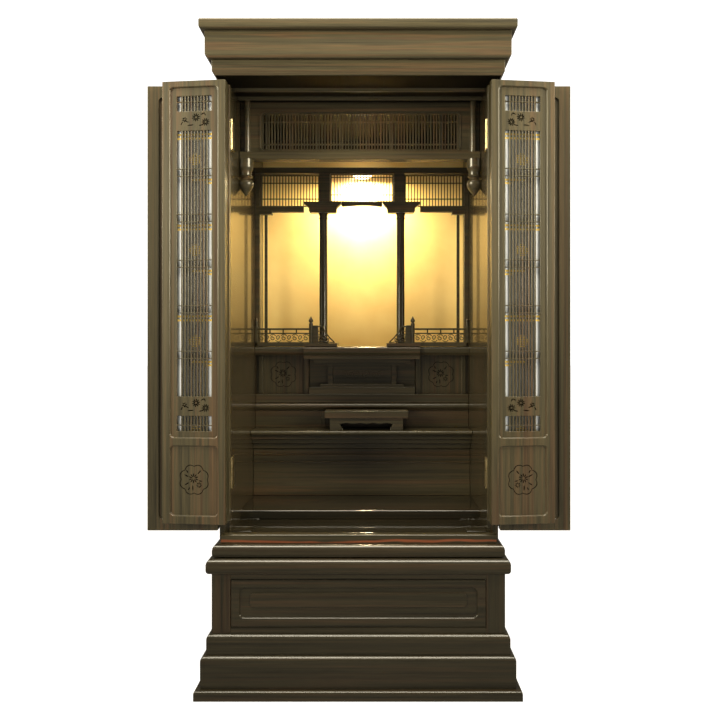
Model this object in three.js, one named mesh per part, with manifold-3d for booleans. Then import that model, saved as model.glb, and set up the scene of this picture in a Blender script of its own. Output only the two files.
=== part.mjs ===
// Household altar cabinet in dark ebony, with its four pairs of folding door leaves open.
// Millimetres, +Z up. The front faces -Y, and the origin is on the floor under the middle of the base.
import * as THREE from 'three';
import { mergeVertices } from 'three/addons/utils/BufferGeometryUtils.js';
import loadManifold from 'manifold-3d';

const wasm = await loadManifold();
wasm.setup();

// ---------------------------------------------------------------- driving sizes
const DEPTH = 550;
const FRONT = -DEPTH / 2;         // front plane of the base plate and of the roof cap
const GAP = 0.3;                  // play between boards that touch

const BASE_PLATE_TOP = 20;
const PLINTH_LOWER_TOP = 84;
const PLINTH_UPPER_TOP = 124;
const BASE_TOP = 245;
const COUNTER_TOP = 276;
const BODY_FLOOR_TOP = 303;
const FLOOR = 320.6;              // lacquered floor of the altar space
const FLOOR_STEP_TOP = 340;
const DAIS_TOP = 504;
const STEP_TOP = 566;
const ALTAR_PLINTH_TOP = 588;
const PLATFORM_BOTTOM = 686;
const PLATFORM_TOP = 708;
const TRANSOM_BEAM_BOTTOM = 1122;
const TRANSOM_BEAM_TOP = 1140;
const CEILING = 1255;
const ROOF_LOWER_TOP = 1285;
const ROOF_UPPER_TOP = 1339;
const ROOF_TOP = 1360;

const BASE_HALF = 297.7;          // half widths
const WALL_OUT = 291;
const WALL_IN = 268;
const INSIDE = WALL_IN - GAP;
const WALL_FRONT = 72.5;          // set back from the front plane
const BACK_BOARD = 533;

const OPEN_ANGLE = Math.PI;
const OUTER_FOLD = Math.PI;
const INNER_FOLD = Math.PI * 174 / 180;

// ---------------------------------------------------------------- materials
function finish(color, roughness, metalness = 0) {
  return new THREE.MeshStandardMaterial({ color, roughness, metalness });
}
const ebony = finish(0x241a15, 0.35);
const glossyFloor = finish(0x120e0c, 0.08);
const goldPanel = finish(0xe3c98d, 0.5);
const brass = finish(0xb99850, 0.3, 1);
const gauzeCloth = finish(0xd8d6cc, 0.7);
const lampGlass = finish(0xfff0c8, 0.3);

// ---------------------------------------------------------------- helpers
const yAt = (setback) => FRONT + setback;

// Cut and joined geometry is already closed on shared vertices; any other is merged first.
function toSolid(geometry) {
  let merged = geometry;
  if (!geometry.userData.closed) {
    const bare = geometry.clone();
    bare.deleteAttribute('normal');
    bare.deleteAttribute('uv');
    merged = mergeVertices(bare, 1e-4);
  }
  const index = merged.index.array;
  const kept = [];
  for (let i = 0; i < index.length; i += 3) {
    const [a, b, c] = [index[i], index[i + 1], index[i + 2]];
    if (a !== b && b !== c && c !== a) kept.push(a, b, c);
  }
  return new wasm.Manifold(new wasm.Mesh({
    numProp: 3,
    vertProperties: new Float32Array(merged.attributes.position.array),
    triVerts: new Uint32Array(kept),
  }));
}

function toGeometry(solid) {
  const mesh = solid.getMesh();
  const geometry = new THREE.BufferGeometry();
  geometry.setAttribute('position', new THREE.BufferAttribute(mesh.vertProperties, 3));
  geometry.setIndex(new THREE.BufferAttribute(mesh.triVerts, 1));
  geometry.userData.closed = true;
  return geometry;
}

function join(...geometries) {
  return toGeometry(geometries.map(toSolid).reduce((whole, next) => whole.add(next)));
}

function cut(body, ...tools) {
  return toGeometry(tools.map(toSolid).reduce((whole, tool) => whole.subtract(tool), toSolid(body)));
}

// A straight board between two widths, two setbacks from the front plane and two heights.
function board([x0, x1], [s0, s1], [z0, z1]) {
  const geometry = new THREE.BoxGeometry(x1 - x0, s1 - s0, z1 - z0);
  return geometry.translate((x0 + x1) / 2, yAt((s0 + s1) / 2), (z0 + z1) / 2);
}

function outline(points) {
  return new THREE.Shape(points.map(([a, b]) => new THREE.Vector2(a, b)));
}

function extrude(shape, depth, curveSegments) {
  return new THREE.ExtrudeGeometry(shape, { depth, bevelEnabled: false, steps: 1, curveSegments });
}

// A profile of (setback, height) points that runs along X.
function alongX(profile, [x0, x1]) {
  const turn = new THREE.Matrix4().makeBasis(
    new THREE.Vector3(0, 1, 0), new THREE.Vector3(0, 0, 1), new THREE.Vector3(1, 0, 0));
  return extrude(outline(profile), x1 - x0).applyMatrix4(turn).translate(x0, FRONT, 0);
}

// A shape drawn in (x, height) that runs from setback s0 to s1.
function alongY(shape, [s0, s1], curveSegments = 2) {
  const turn = new THREE.Matrix4().makeBasis(
    new THREE.Vector3(1, 0, 0), new THREE.Vector3(0, 0, 1), new THREE.Vector3(0, -1, 0));
  return extrude(shape, s1 - s0, curveSegments).applyMatrix4(turn).translate(0, yAt(s1), 0);
}

// A turned piece standing at x and a setback, from [radius, height] points that start and end on its axis.
function turned(profile, x, setback, sides = 12) {
  const points = profile.map(([radius, z]) => new THREE.Vector2(radius, z));
  return new THREE.LatheGeometry(points, sides).rotateX(Math.PI / 2).translate(x, yAt(setback), 0);
}

function roundedRectangle([x0, x1], [z0, z1], radius) {
  const shape = new THREE.Shape();
  shape.moveTo(x0 + radius, z0);
  shape.lineTo(x1 - radius, z0);
  shape.absarc(x1 - radius, z0 + radius, radius, -Math.PI / 2, 0);
  shape.lineTo(x1, z1 - radius);
  shape.absarc(x1 - radius, z1 - radius, radius, 0, Math.PI / 2);
  shape.lineTo(x0 + radius, z1);
  shape.absarc(x0 + radius, z1 - radius, radius, Math.PI / 2, Math.PI);
  shape.lineTo(x0, z0 + radius);
  shape.absarc(x0 + radius, z0 + radius, radius, Math.PI, Math.PI * 3 / 2);
  return shape;
}

function rectangle([x0, x1], [z0, z1]) {
  return outline([[x0, z0], [x1, z0], [x1, z1], [x0, z1]]);
}

// Edge profiles of boards, as [inset, height] steps.
function roundOver(radius, top, steps = 3) {
  return Array.from({ length: steps + 1 }, (_, i) => {
    const angle = i / steps * Math.PI / 2;
    return [radius * (1 - Math.cos(angle)), top - radius + radius * Math.sin(angle)];
  });
}

function roundUnder(radius, bottom, steps = 3) {
  return roundOver(radius, 0, steps).reverse().map(([inset, z]) => [inset, bottom - z]);
}

// A board whose front and side edges follow a moulded profile, with a flat back edge.
function mouldedBoard(halfWidth, setback, profile, backSetback = DEPTH) {
  const positions = [];
  for (const [inset, z] of profile) {
    const x = halfWidth - inset;
    const front = yAt(setback + inset);
    const rear = yAt(backSetback);
    positions.push(-x, front, z, x, front, z, x, rear, z, -x, rear, z);
  }
  const index = [0, 3, 2, 0, 2, 1];
  for (let ring = 0; ring < profile.length - 1; ring += 1) {
    for (let side = 0; side < 4; side += 1) {
      const a = ring * 4 + side;
      const b = ring * 4 + (side + 1) % 4;
      index.push(a, b, b + 4, a, b + 4, a + 4);
    }
  }
  const top = (profile.length - 1) * 4;
  index.push(top, top + 1, top + 2, top, top + 2, top + 3);
  const geometry = new THREE.BufferGeometry();
  geometry.setAttribute('position', new THREE.Float32BufferAttribute(positions, 3));
  geometry.setIndex(index);
  return geometry;
}

function mirrored(geometry) {
  const copy = geometry.index ? geometry.clone() : mergeVertices(geometry);
  copy.scale(-1, 1, 1);
  const index = copy.index.array;
  for (let i = 0; i < index.length; i += 3) {
    [index[i], index[i + 1]] = [index[i + 1], index[i]];
  }
  return copy;
}

const cabinet = new THREE.Group();

// Adds one piece, placed by its own middle.
function piece(name, geometry, material, parent = cabinet) {
  geometry.computeBoundingBox();
  const middle = geometry.boundingBox.getCenter(new THREE.Vector3());
  geometry.translate(-middle.x, -middle.y, -middle.z);
  const mesh = new THREE.Mesh(geometry, material);
  mesh.name = name;
  mesh.position.copy(middle);
  parent.add(mesh);
  return mesh;
}

// Adds a left and a right piece from the geometry of the right one.
function pair(name, geometry, material) {
  piece(`${name}_left`, mirrored(geometry), material);
  piece(`${name}_right`, geometry, material);
}

// A scalloped round outline, as on the carved roundels.
function scallopedOutline(x, z, radius, lobes, depth) {
  const pointsPerLobe = 2;
  const count = lobes * pointsPerLobe;
  return outline(Array.from({ length: count }, (_, i) => {
    const angle = i / count * Math.PI * 2;
    const r = radius - depth * (1 - Math.abs(Math.sin(angle * lobes / 2)));
    return [x + r * Math.sin(angle), z + r * Math.cos(angle)];
  }));
}

// Cutters for rows of equal rectangular holes between upright bars.
function gridCutters([x0, x1], rows, bays, barWidth, [s0, s1]) {
  const pitch = (x1 - x0 + barWidth) / bays;
  return rows.flatMap((heights) => Array.from({ length: bays }, (_, bay) => {
    const left = x0 + bay * pitch;
    return board([left, left + pitch - barWidth], [s0 - 1, s1 + 1], heights);
  }));
}

// ---------------------------------------------------------------- base with its drawer
const PLINTH_WALL = 24;
const LOWER_PLINTH = { half: 317, setback: 11 };
const UPPER_PLINTH = { half: 307, setback: 21 };

function ringInside({ half, setback }, wall, [z0, z1]) {
  return board([-half + wall, half - wall], [setback + wall, DEPTH - wall], [z0 - 5, z1 + 5]);
}

piece('base_plate', mouldedBoard(328, 0, [[0, 0], ...roundOver(5, BASE_PLATE_TOP)]), ebony);

const lowerPlinthBottom = BASE_PLATE_TOP + GAP;
piece('plinth_lower', cut(
  mouldedBoard(LOWER_PLINTH.half, LOWER_PLINTH.setback,
    [[0, lowerPlinthBottom], ...roundOver(9, PLINTH_LOWER_TOP, 4)]),
  ringInside(LOWER_PLINTH, PLINTH_WALL, [lowerPlinthBottom, PLINTH_LOWER_TOP])), ebony);

const upperPlinthBottom = PLINTH_LOWER_TOP + GAP;
piece('plinth_upper', cut(
  mouldedBoard(UPPER_PLINTH.half, UPPER_PLINTH.setback,
    [[0, upperPlinthBottom], ...roundOver(9, PLINTH_UPPER_TOP, 4)]),
  ringInside(UPPER_PLINTH, PLINTH_WALL, [upperPlinthBottom, PLINTH_UPPER_TOP])), ebony);

const BASE_FRONT = 30;
const FACE_FRAME_BACK = 50;
const CARCASS_WALL = 18;
const CARCASS_BOTTOM = PLINTH_UPPER_TOP + GAP;
const CARCASS_FLOOR = 136.5;
piece('base_carcass', cut(
  board([-BASE_HALF, BASE_HALF], [FACE_FRAME_BACK + GAP, DEPTH], [CARCASS_BOTTOM, BASE_TOP]),
  board([-BASE_HALF + CARCASS_WALL, BASE_HALF - CARCASS_WALL], [0, DEPTH - CARCASS_WALL],
    [CARCASS_FLOOR, BASE_TOP + 5])), ebony);

const DRAWER_GAP = 1.2;
const DRAWER_HALF = 258.4;
const DRAWER = [137.4, 232.4];
const faceFrame = rectangle([-BASE_HALF, BASE_HALF], [CARCASS_BOTTOM, BASE_TOP]);
faceFrame.holes.push(rectangle([-DRAWER_HALF - DRAWER_GAP, DRAWER_HALF + DRAWER_GAP],
  [DRAWER[0] - DRAWER_GAP, DRAWER[1] + DRAWER_GAP]));
piece('base_face_frame', alongY(faceFrame, [BASE_FRONT, FACE_FRAME_BACK]), ebony);

const DRAWER_RECESS = 4;
const DRAWER_FIELD = 1.6;         // the raised field stands this far out of the recess
const DRAWER_FRONT_BACK = 48;
piece('drawer_front', join(
  cut(board([-DRAWER_HALF, DRAWER_HALF], [BASE_FRONT, DRAWER_FRONT_BACK], DRAWER),
    alongY(roundedRectangle([-241.6, 241.6], [155, 215.6], 11), [0, BASE_FRONT + DRAWER_RECESS])),
  alongY(roundedRectangle([-220.7, 220.7], [176, 205], 9),
    [BASE_FRONT + DRAWER_RECESS - DRAWER_FIELD, BASE_FRONT + DRAWER_RECESS + 1])), ebony);

const DRAWER_BOX = { half: 250, front: DRAWER_FRONT_BACK + GAP, back: 480, side: 10, bottom: 8 };
piece('drawer_box', cut(
  board([-DRAWER_BOX.half, DRAWER_BOX.half], [DRAWER_BOX.front, DRAWER_BOX.back], [CARCASS_FLOOR + GAP, 222]),
  board([-DRAWER_BOX.half + DRAWER_BOX.side, DRAWER_BOX.half - DRAWER_BOX.side],
    [DRAWER_BOX.front + DRAWER_BOX.side, DRAWER_BOX.back - DRAWER_BOX.side],
    [CARCASS_FLOOR + GAP + DRAWER_BOX.bottom, 230])), ebony);

piece('counter_board', mouldedBoard(308, 19.7,
  [...roundUnder(8, BASE_TOP + GAP), ...roundOver(11, COUNTER_TOP, 4)]), ebony);
piece('body_floor_board', mouldedBoard(BASE_HALF, BASE_FRONT,
  [...roundUnder(8, COUNTER_TOP + GAP), ...roundOver(11, BODY_FLOOR_TOP, 4)]), ebony);

// ---------------------------------------------------------------- pull-out tray and floor
const TRAY_HALF = 224.5;
const TRAY_BACK = 300;
const TRAY_FRONT_BOARD = [45, 63];
const FLOOR_STEP_FRONT = 179;
const DAIS_FRONT = 342;
const FLOOR_BOTTOM = BODY_FLOOR_TOP + GAP;

piece('slide_tray_front', alongX(
  [[TRAY_FRONT_BOARD[0], FLOOR_BOTTOM], [TRAY_FRONT_BOARD[1], FLOOR_BOTTOM], [TRAY_FRONT_BOARD[1], FLOOR],
    ...roundOver(3, FLOOR, 2).reverse().map(([inset, z]) => [TRAY_FRONT_BOARD[0] + inset, z])],
  [-283, 283]), ebony);
piece('slide_tray', board([-TRAY_HALF, TRAY_HALF], [TRAY_FRONT_BOARD[1] + GAP, TRAY_BACK],
  [FLOOR_BOTTOM, FLOOR - GAP]), glossyFloor);

const stripInner = TRAY_HALF + GAP;
const stepProfile = [[FLOOR_STEP_FRONT, FLOOR], [DAIS_FRONT + 24, FLOOR],
  [DAIS_FRONT + 24, FLOOR_STEP_TOP],
  ...roundOver(3, FLOOR_STEP_TOP, 2).reverse().map(([inset, z]) => [FLOOR_STEP_FRONT + inset, z])];
const floorStrip = board([stripInner, INSIDE], [TRAY_FRONT_BOARD[1] + GAP + 9.5, DAIS_FRONT + 24],
  [FLOOR_BOTTOM, FLOOR]);
piece('floor_surround', join(alongX(stepProfile, [-INSIDE, INSIDE]), floorStrip, mirrored(floorStrip)),
  glossyFloor);

// ---------------------------------------------------------------- shell of the altar space
const SHELL_BOTTOM = BODY_FLOOR_TOP + GAP;
const SHELL_TOP = CEILING - GAP;
pair('side_panel', board([WALL_IN, WALL_OUT], [WALL_FRONT, BACK_BOARD - GAP],
  [SHELL_BOTTOM, SHELL_TOP]), ebony);
piece('back_panel', board([-WALL_OUT + GAP, WALL_OUT - GAP], [BACK_BOARD, BACK_BOARD + 12],
  [SHELL_BOTTOM, SHELL_TOP]), ebony);

const HINGE_PLATE_HALF = 32;
for (const [place, z] of [['upper', 1150], ['lower', 442]]) {
  const plate = board([WALL_IN - GAP - 1.2, WALL_IN - GAP], [78, 102],
    [z - HINGE_PLATE_HALF, z + HINGE_PLATE_HALF]);
  pair(`hinge_plate_${place}`, plate, brass);
}

// ---------------------------------------------------------------- roof
const ROOF_WALL = 22;
const LOWER_FASCIA = { half: 296, setback: 21.6 };
const UPPER_FASCIA = { half: 307.5, setback: 10 };
const ceilingBead = (setback) => board([-INSIDE, INSIDE], [setback, setback + 8], [CEILING - 6, CEILING + 1]);
const backHeader = board([-INSIDE, INSIDE], [479, 485.7], [1210, CEILING + 1]);   // above the gold board
piece('roof_lower', join(
  cut(mouldedBoard(LOWER_FASCIA.half, LOWER_FASCIA.setback,
    [[6, CEILING], [0, CEILING + 7], [0, ROOF_LOWER_TOP]]),
  ringInside(LOWER_FASCIA, ROOF_WALL, [CEILING + 17, ROOF_LOWER_TOP])),
  ceilingBead(98), ceilingBead(148), backHeader), ebony);
piece('roof_upper', cut(
  mouldedBoard(UPPER_FASCIA.half, UPPER_FASCIA.setback,
    [[5, ROOF_LOWER_TOP + GAP], [0, ROOF_LOWER_TOP + 6], [0, ROOF_UPPER_TOP]]),
  ringInside(UPPER_FASCIA, ROOF_WALL, [ROOF_LOWER_TOP, ROOF_UPPER_TOP])), ebony);
piece('roof_cap', mouldedBoard(317.5, 0,
  [...roundUnder(4, ROOF_UPPER_TOP + GAP, 2), ...roundOver(4, ROOF_TOP, 2)]), ebony);

// ---------------------------------------------------------------- transom with its hanging posts
const TRANSOM_OPENING = { x: [-223, 223], z: [1147, 1231], corner: 8.5 };
const transom = rectangle([-INSIDE, INSIDE], [TRANSOM_BEAM_TOP + GAP, SHELL_TOP]);
transom.holes.push(roundedRectangle(TRANSOM_OPENING.x, TRANSOM_OPENING.z, TRANSOM_OPENING.corner));
piece('transom_panel', alongY(transom, [182, 190]), ebony);

const latticeX = [TRANSOM_OPENING.x[0] + GAP, TRANSOM_OPENING.x[1] - GAP];
const latticeZ = [TRANSOM_OPENING.z[0] + GAP, TRANSOM_OPENING.z[1] - GAP];
const TRANSOM_RAILS = [1161, 1211];
const TRANSOM_BAR = 3;
const transomRows = [[latticeZ[0] + TRANSOM_BAR, TRANSOM_RAILS[0] - TRANSOM_BAR / 2],
  [TRANSOM_RAILS[0] + TRANSOM_BAR / 2, TRANSOM_RAILS[1] - TRANSOM_BAR / 2],
  [TRANSOM_RAILS[1] + TRANSOM_BAR / 2, latticeZ[1] - TRANSOM_BAR]];
const LATTICE_DEPTH = [184, 188];
piece('transom_lattice', cut(
  alongY(roundedRectangle(latticeX, latticeZ, TRANSOM_OPENING.corner), LATTICE_DEPTH),
  ...gridCutters([latticeX[0] + 6, latticeX[1] - 6], transomRows, 6, TRANSOM_BAR, LATTICE_DEPTH)), ebony);

const HANGING_POST = { x: 252, setback: 173, radius: 6.7 };
const hangingPost = turned([[0, TRANSOM_BEAM_TOP - 2], [HANGING_POST.radius, TRANSOM_BEAM_TOP - 2],
  [HANGING_POST.radius, SHELL_TOP], [0, SHELL_TOP]], HANGING_POST.x, HANGING_POST.setback, 8);
// A pendant is thicker than its distance from the wall and is planed flat along it.
const PENDANT_X = 254.6;
const pendant = cut(
  turned([[0, 1042], [14.8, 1061], [17, 1068], [16, 1074], [10, 1080], [14.5, 1085], [12.6, 1094],
    [16.4, 1104], [16.4, TRANSOM_BEAM_BOTTOM + 2], [0, TRANSOM_BEAM_BOTTOM + 2]],
  PENDANT_X, HANGING_POST.setback, 8),
  board([INSIDE, INSIDE + 20], [HANGING_POST.setback - 20, HANGING_POST.setback + 20],
    [1040, TRANSOM_BEAM_BOTTOM + 5]));
piece('transom_beam', join(
  board([-INSIDE, INSIDE], [164, 190], [TRANSOM_BEAM_BOTTOM, TRANSOM_BEAM_TOP]),
  hangingPost, mirrored(hangingPost), pendant, mirrored(pendant)), ebony);

// ---------------------------------------------------------------- dais and steps
const DAIS_BACK = DAIS_FRONT + 24;
const DAIS_FACE = DAIS_FRONT + 6;
const DAIS_TOP_BOTTOM = DAIS_TOP - 12;
const beadOnDais = (z) => [[DAIS_FACE, z - 3], [DAIS_FACE - 3, z - 1],
  [DAIS_FACE - 3, z + 1], [DAIS_FACE, z + 3]];
piece('dais_front', alongX([
  [DAIS_BACK, FLOOR_STEP_TOP + GAP], [DAIS_BACK, DAIS_TOP_BOTTOM - GAP],
  [316, DAIS_TOP_BOTTOM - GAP], [316, 482], [328, 479], [328, 470], [339, 467], [339, 457], [DAIS_FACE, 453],
  ...beadOnDais(440).reverse(), ...beadOnDais(421).reverse(), [DAIS_FACE, 381], [DAIS_FRONT, 364],
  [DAIS_FRONT, FLOOR_STEP_TOP + GAP]].reverse(), [-INSIDE, INSIDE]), ebony);

const CABINET_INSIDE_BACK = BACK_BOARD - GAP;
function nosedShelf(front, [bottom, top], radius, steps = 3) {
  return [[front + radius, bottom], [CABINET_INSIDE_BACK, bottom], [CABINET_INSIDE_BACK, top],
    ...roundOver(radius, top, steps).reverse().map(([inset, z]) => [front + inset, z]),
    [front, bottom + radius]];
}
piece('dais_top', alongX(nosedShelf(300, [DAIS_TOP_BOTTOM, DAIS_TOP], 5), [-INSIDE, INSIDE]), ebony);

const STEP_BOTTOM = 547.5;
const stepWall = board([-INSIDE, INSIDE], [375, 387], [DAIS_TOP + GAP, STEP_BOTTOM - GAP]);
const stepPost = board([91, 103], [372, 376], [DAIS_TOP + GAP, STEP_BOTTOM - GAP]);
piece('step_wall', join(stepWall, stepPost, mirrored(stepPost)), ebony);
piece('step_shelf', alongX(nosedShelf(366, [STEP_BOTTOM, STEP_TOP], 8), [-INSIDE, INSIDE]), ebony);
piece('altar_plinth', board([-INSIDE, INSIDE], [378, CABINET_INSIDE_BACK],
  [STEP_TOP + GAP, ALTAR_PLINTH_TOP - GAP]), ebony);

// ---------------------------------------------------------------- altar body and platform
const ALTAR_FACE = 399;
const altarHeights = [ALTAR_PLINTH_TOP, PLATFORM_BOTTOM - GAP];
const ROUNDEL = { x: 201, z: 637, radius: 35, lobes: 8, scallop: 3.5 };
const { x: roundelX, z: roundelZ } = ROUNDEL;
pair('altar_side', join(
  cut(board([136, INSIDE], [ALTAR_FACE, 411], altarHeights),
    alongY(scallopedOutline(roundelX, roundelZ, ROUNDEL.radius, ROUNDEL.lobes, ROUNDEL.scallop),
      [0, ALTAR_FACE + 1.5])),
  alongY(scallopedOutline(roundelX, roundelZ, ROUNDEL.radius - 5, 5, 14), [ALTAR_FACE, ALTAR_FACE + 3]),
  board([136, 149], [393, 401], altarHeights),
  board([252, 263], [393, 401], altarHeights)), ebony);

const COURSES = [                 // half width, front setback, back setback, heights
  [134, 380, 411, [ALTAR_PLINTH_TOP, 605]],
  [106, 386, 411, [605, 612]],
  [75, 400, 411, [612, 661]],
  [105, 386, 411, [661, 666]],
  [122, 374, 411, [666, 676]],
  [145, 358, 392.7, [676, PLATFORM_BOTTOM - GAP]],
];
const pedestalPost = board([75, 87], [393, 411], [611, 662]);
piece('altar_pedestal', join(
  ...COURSES.map(([half, front, rear, heights]) => board([-half, half], [front, rear], heights)),
  board([-135, 135], [404, 411], altarHeights),
  pedestalPost, mirrored(pedestalPost)), ebony);

piece('altar_platform', join(
  alongX(nosedShelf(362, [PLATFORM_BOTTOM, PLATFORM_TOP], 7), [-INSIDE, INSIDE]),
  alongX(nosedShelf(350, [PLATFORM_BOTTOM, PLATFORM_TOP], 7), [-145, 145])), ebony);

// ---------------------------------------------------------------- railings with finial posts
const PLATE = { x: [61.5, 146], setback: [352, 420], top: 716 };
const ON_PLATFORM = PLATFORM_TOP + GAP;
const RAIL_DEPTH = [362.5, 366.5];
const FINIAL_POST = { x: 127, setback: 359.5, radius: 5.3 };

function finial(x, setback, radius, bottom, top, sides) {
  const neck = top - radius * 3.4;
  return turned([[0, bottom], [radius, bottom], [radius, neck - 2], [radius * 0.6, neck],
    [radius * 1.05, neck + radius],
    [radius * 0.9, neck + radius * 1.8], [radius * 0.4, top - radius * 0.5], [0, top]], x, setback, sides);
}

const scrollRow = rectangle([131, 262], [718, 740]);
const SCROLL_OPENINGS = 4;
for (let i = 0; i < SCROLL_OPENINGS; i += 1) {
  const pitch = 31;
  const opening = new THREE.Shape();
  opening.absellipse(150 + i * pitch, 729.5, 11, 6, 0, Math.PI * 2);
  scrollRow.holes.push(new THREE.Shape(opening.getPoints(6).slice(0, -1)));
}
const wing = new THREE.Shape();
wing.moveTo(110, 715);
wing.lineTo(110, 757);
wing.quadraticCurveTo(96, 760, 90, 744);
wing.quadraticCurveTo(84, 726, 71, 722);
wing.lineTo(71, 715);
pair('railing', join(
  board(PLATE.x, PLATE.setback, [ON_PLATFORM, PLATE.top]),
  board([132, 267], [362.3, 368.5], [ON_PLATFORM, 718.5]),
  alongY(scrollRow, RAIL_DEPTH, 2),
  board([131, 262], RAIL_DEPTH, [749, 754]),
  board([194, 199], RAIL_DEPTH, [739, 750]),
  board([260, 267], [362.3, 369.3], [ON_PLATFORM, 758]),
  finial(263.5, 365.8, 3.4, 755, 780, 6),
  board([109, 122.5], [353.5, 364], [PLATE.top - 1, 760]),
  finial(FINIAL_POST.x, FINIAL_POST.setback, FINIAL_POST.radius, PLATE.top - 1, 783, 6),
  alongY(wing, [354, 358.5], 3)), ebony);

// ---------------------------------------------------------------- columns, brackets and frame
const COLUMN = { x: 97, setback: 374, radius: 10, bottom: PLATE.top + GAP, top: 1042.7 };
pair('column', turned([[0, COLUMN.bottom], [13, COLUMN.bottom], [13, 721], [11, 724], [12, 727],
  [COLUMN.radius, 730],
  [COLUMN.radius, 1026], [11.4, 1029], [COLUMN.radius, 1032], [12.5, COLUMN.top], [0, COLUMN.top]],
COLUMN.x, COLUMN.setback, 8), ebony);

const BRACKET_TOP = 1070;
const bracket = outline([[66, 1043], [130, 1043], [133, 1047], [133, 1055], [146, 1066], [146, BRACKET_TOP],
  [51.6, BRACKET_TOP], [51.6, 1066], [63, 1055], [63, 1047]]);
const FRAME_TOP = [1141.3, 1156];
pair('bracket', join(
  alongY(bracket, [362, 383.5]),
  board([80, 107], [363, 383], [BRACKET_TOP - 1, FRAME_TOP[0] - GAP])), ebony);

const arch = new THREE.Shape();
const archHalf = 51.6 - GAP;
arch.moveTo(-archHalf, 1059);
arch.quadraticCurveTo(0, 1065, archHalf, 1059);
arch.lineTo(archHalf, 1071);
arch.lineTo(-archHalf, 1071);
piece('sanctuary_beam', alongY(arch, [368, 382], 6), ebony);

const nichePost = board([257, INSIDE], [372, 388], [ON_PLATFORM, FRAME_TOP[0] + 1]);
const thinPost = board([239, 246], [380, 387], [ON_PLATFORM, 1047]);
const sideBeam = board([146 + GAP, 258], [372, 386], [1046, 1061]);
const smallBracket = board([226, 258], [370, 388], [1040, 1050]);
piece('sanctuary_frame', join(
  board([-INSIDE, INSIDE], [366, 389], FRAME_TOP),
  ...[nichePost, thinPost, sideBeam, smallBracket].flatMap((member) => [member, mirrored(member)])), ebony);

// ---------------------------------------------------------------- grilles over the niches
const GRILLE_BAR = 3;
const GRILLE_TOP = FRAME_TOP[0] - GAP;
function grille([x0, x1], bottom, railHeights, bays, depth) {
  const levels = [bottom + 1, ...railHeights, GRILLE_TOP - 1];
  const rows = levels.slice(0, -1).map((z, i) => [z + GRILLE_BAR / 2, levels[i + 1] - GRILLE_BAR / 2]);
  return cut(board([x0, x1], depth, [bottom, GRILLE_TOP]),
    ...gridCutters([x0 + GRILLE_BAR, x1 - GRILLE_BAR], rows, bays, GRILLE_BAR, depth));
}
const cloud = new THREE.Shape();
cloud.moveTo(0, 1098);
cloud.quadraticCurveTo(16, 1096, 20, 1104);
cloud.quadraticCurveTo(34, 1100, 40, 1110);
cloud.quadraticCurveTo(30, 1116, 20, 1113);
cloud.quadraticCurveTo(12, 1122, 0, 1119);
cloud.quadraticCurveTo(-12, 1122, -20, 1113);
cloud.quadraticCurveTo(-30, 1116, -40, 1110);
cloud.quadraticCurveTo(-34, 1100, -20, 1104);
cloud.quadraticCurveTo(-16, 1096, 0, 1098);
piece('grille_center', join(
  grille([-79.7, 79.7], 1071.3, [1089, 1133], 4, [371, 376]),
  alongY(cloud, [369, 373], 2)), ebony);
pair('grille', grille([107.3, 256.7], 1061.3, [1081, 1121], 4, [384, 389]), ebony);

piece('gold_backboard', board([-INSIDE, INSIDE], [486, 492], [ON_PLATFORM, SHELL_TOP]), goldPanel);

const LAMP = { setback: 432, radius: 24, bottom: 1147, top: 1158 };
piece('lamp', join(
  turned([[0, LAMP.bottom], [LAMP.radius - 4, LAMP.bottom], [LAMP.radius, LAMP.bottom + 3],
    [LAMP.radius, LAMP.top],
    [0, LAMP.top]], 0, LAMP.setback, 12),
  board([-7, 7], [389 + GAP, LAMP.setback], [LAMP.top - 6, LAMP.top])), lampGlass);

// ---------------------------------------------------------------- small offering table on the dais
const TABLE = { x: 12, top: 551.5, board: 17.5, front: 304, back: 362 };
const tableLegs = { half: 89, front: TABLE.front + 4, back: TABLE.back - 4, wall: 8 };
const tableBottom = DAIS_TOP + GAP;
const tableUnderside = TABLE.top - TABLE.board;
const cusps = new THREE.Shape();
const CUSP_COUNT = 4;
const cuspHalf = 64;
cusps.moveTo(TABLE.x - cuspHalf + 8, tableBottom - 1);
cusps.lineTo(TABLE.x - cuspHalf, 519);
for (let i = 0; i < CUSP_COUNT; i += 1) {
  const left = TABLE.x - cuspHalf + i * cuspHalf * 2 / CUSP_COUNT;
  cusps.quadraticCurveTo(left + cuspHalf / CUSP_COUNT, 526, left + cuspHalf * 2 / CUSP_COUNT, 519);
}
cusps.lineTo(TABLE.x + cuspHalf - 8, tableBottom - 1);
piece('offering_table', join(
  alongX([[TABLE.front, tableUnderside], [TABLE.back, tableUnderside], [TABLE.back, TABLE.top],
    [TABLE.front, TABLE.top]], [TABLE.x - 101, TABLE.x + 101]),
  cut(board([TABLE.x - tableLegs.half, TABLE.x + tableLegs.half], [tableLegs.front, tableLegs.back],
    [tableBottom, tableUnderside + 1]),
  board([TABLE.x - tableLegs.half + tableLegs.wall, TABLE.x + tableLegs.half - tableLegs.wall],
    [tableLegs.front + tableLegs.wall, tableLegs.back - tableLegs.wall],
    [tableBottom - 1, tableUnderside + 2]),
  alongY(cusps, [TABLE.front - 2, TABLE.back + 2], 2),
  board([TABLE.x - 100, TABLE.x + 100], [tableLegs.front + 14, tableLegs.back - 14],
    [tableBottom - 1, 520]))), ebony);

// ---------------------------------------------------------------- door leaves
// Each leaf is drawn closed and on the left: x runs from the hinge axis to the middle of the cabinet,
// and y runs from the axis plane to the inside. Its group then turns it open.
const OUTER_LEAF = { z: [322, 1250], thick: 20, first: [1, 147.75], pivot: [148, -20.25],
  second: [148.25, 292.9] };
const INNER_LEAF = { z: [345, 1246.5], face: 2.5, thick: 16, first: [0.5, 132.75], pivot: [133, 18.75],
  second: [133.25, 265.5] };
const LEAF_CORNER = 8;

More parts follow.
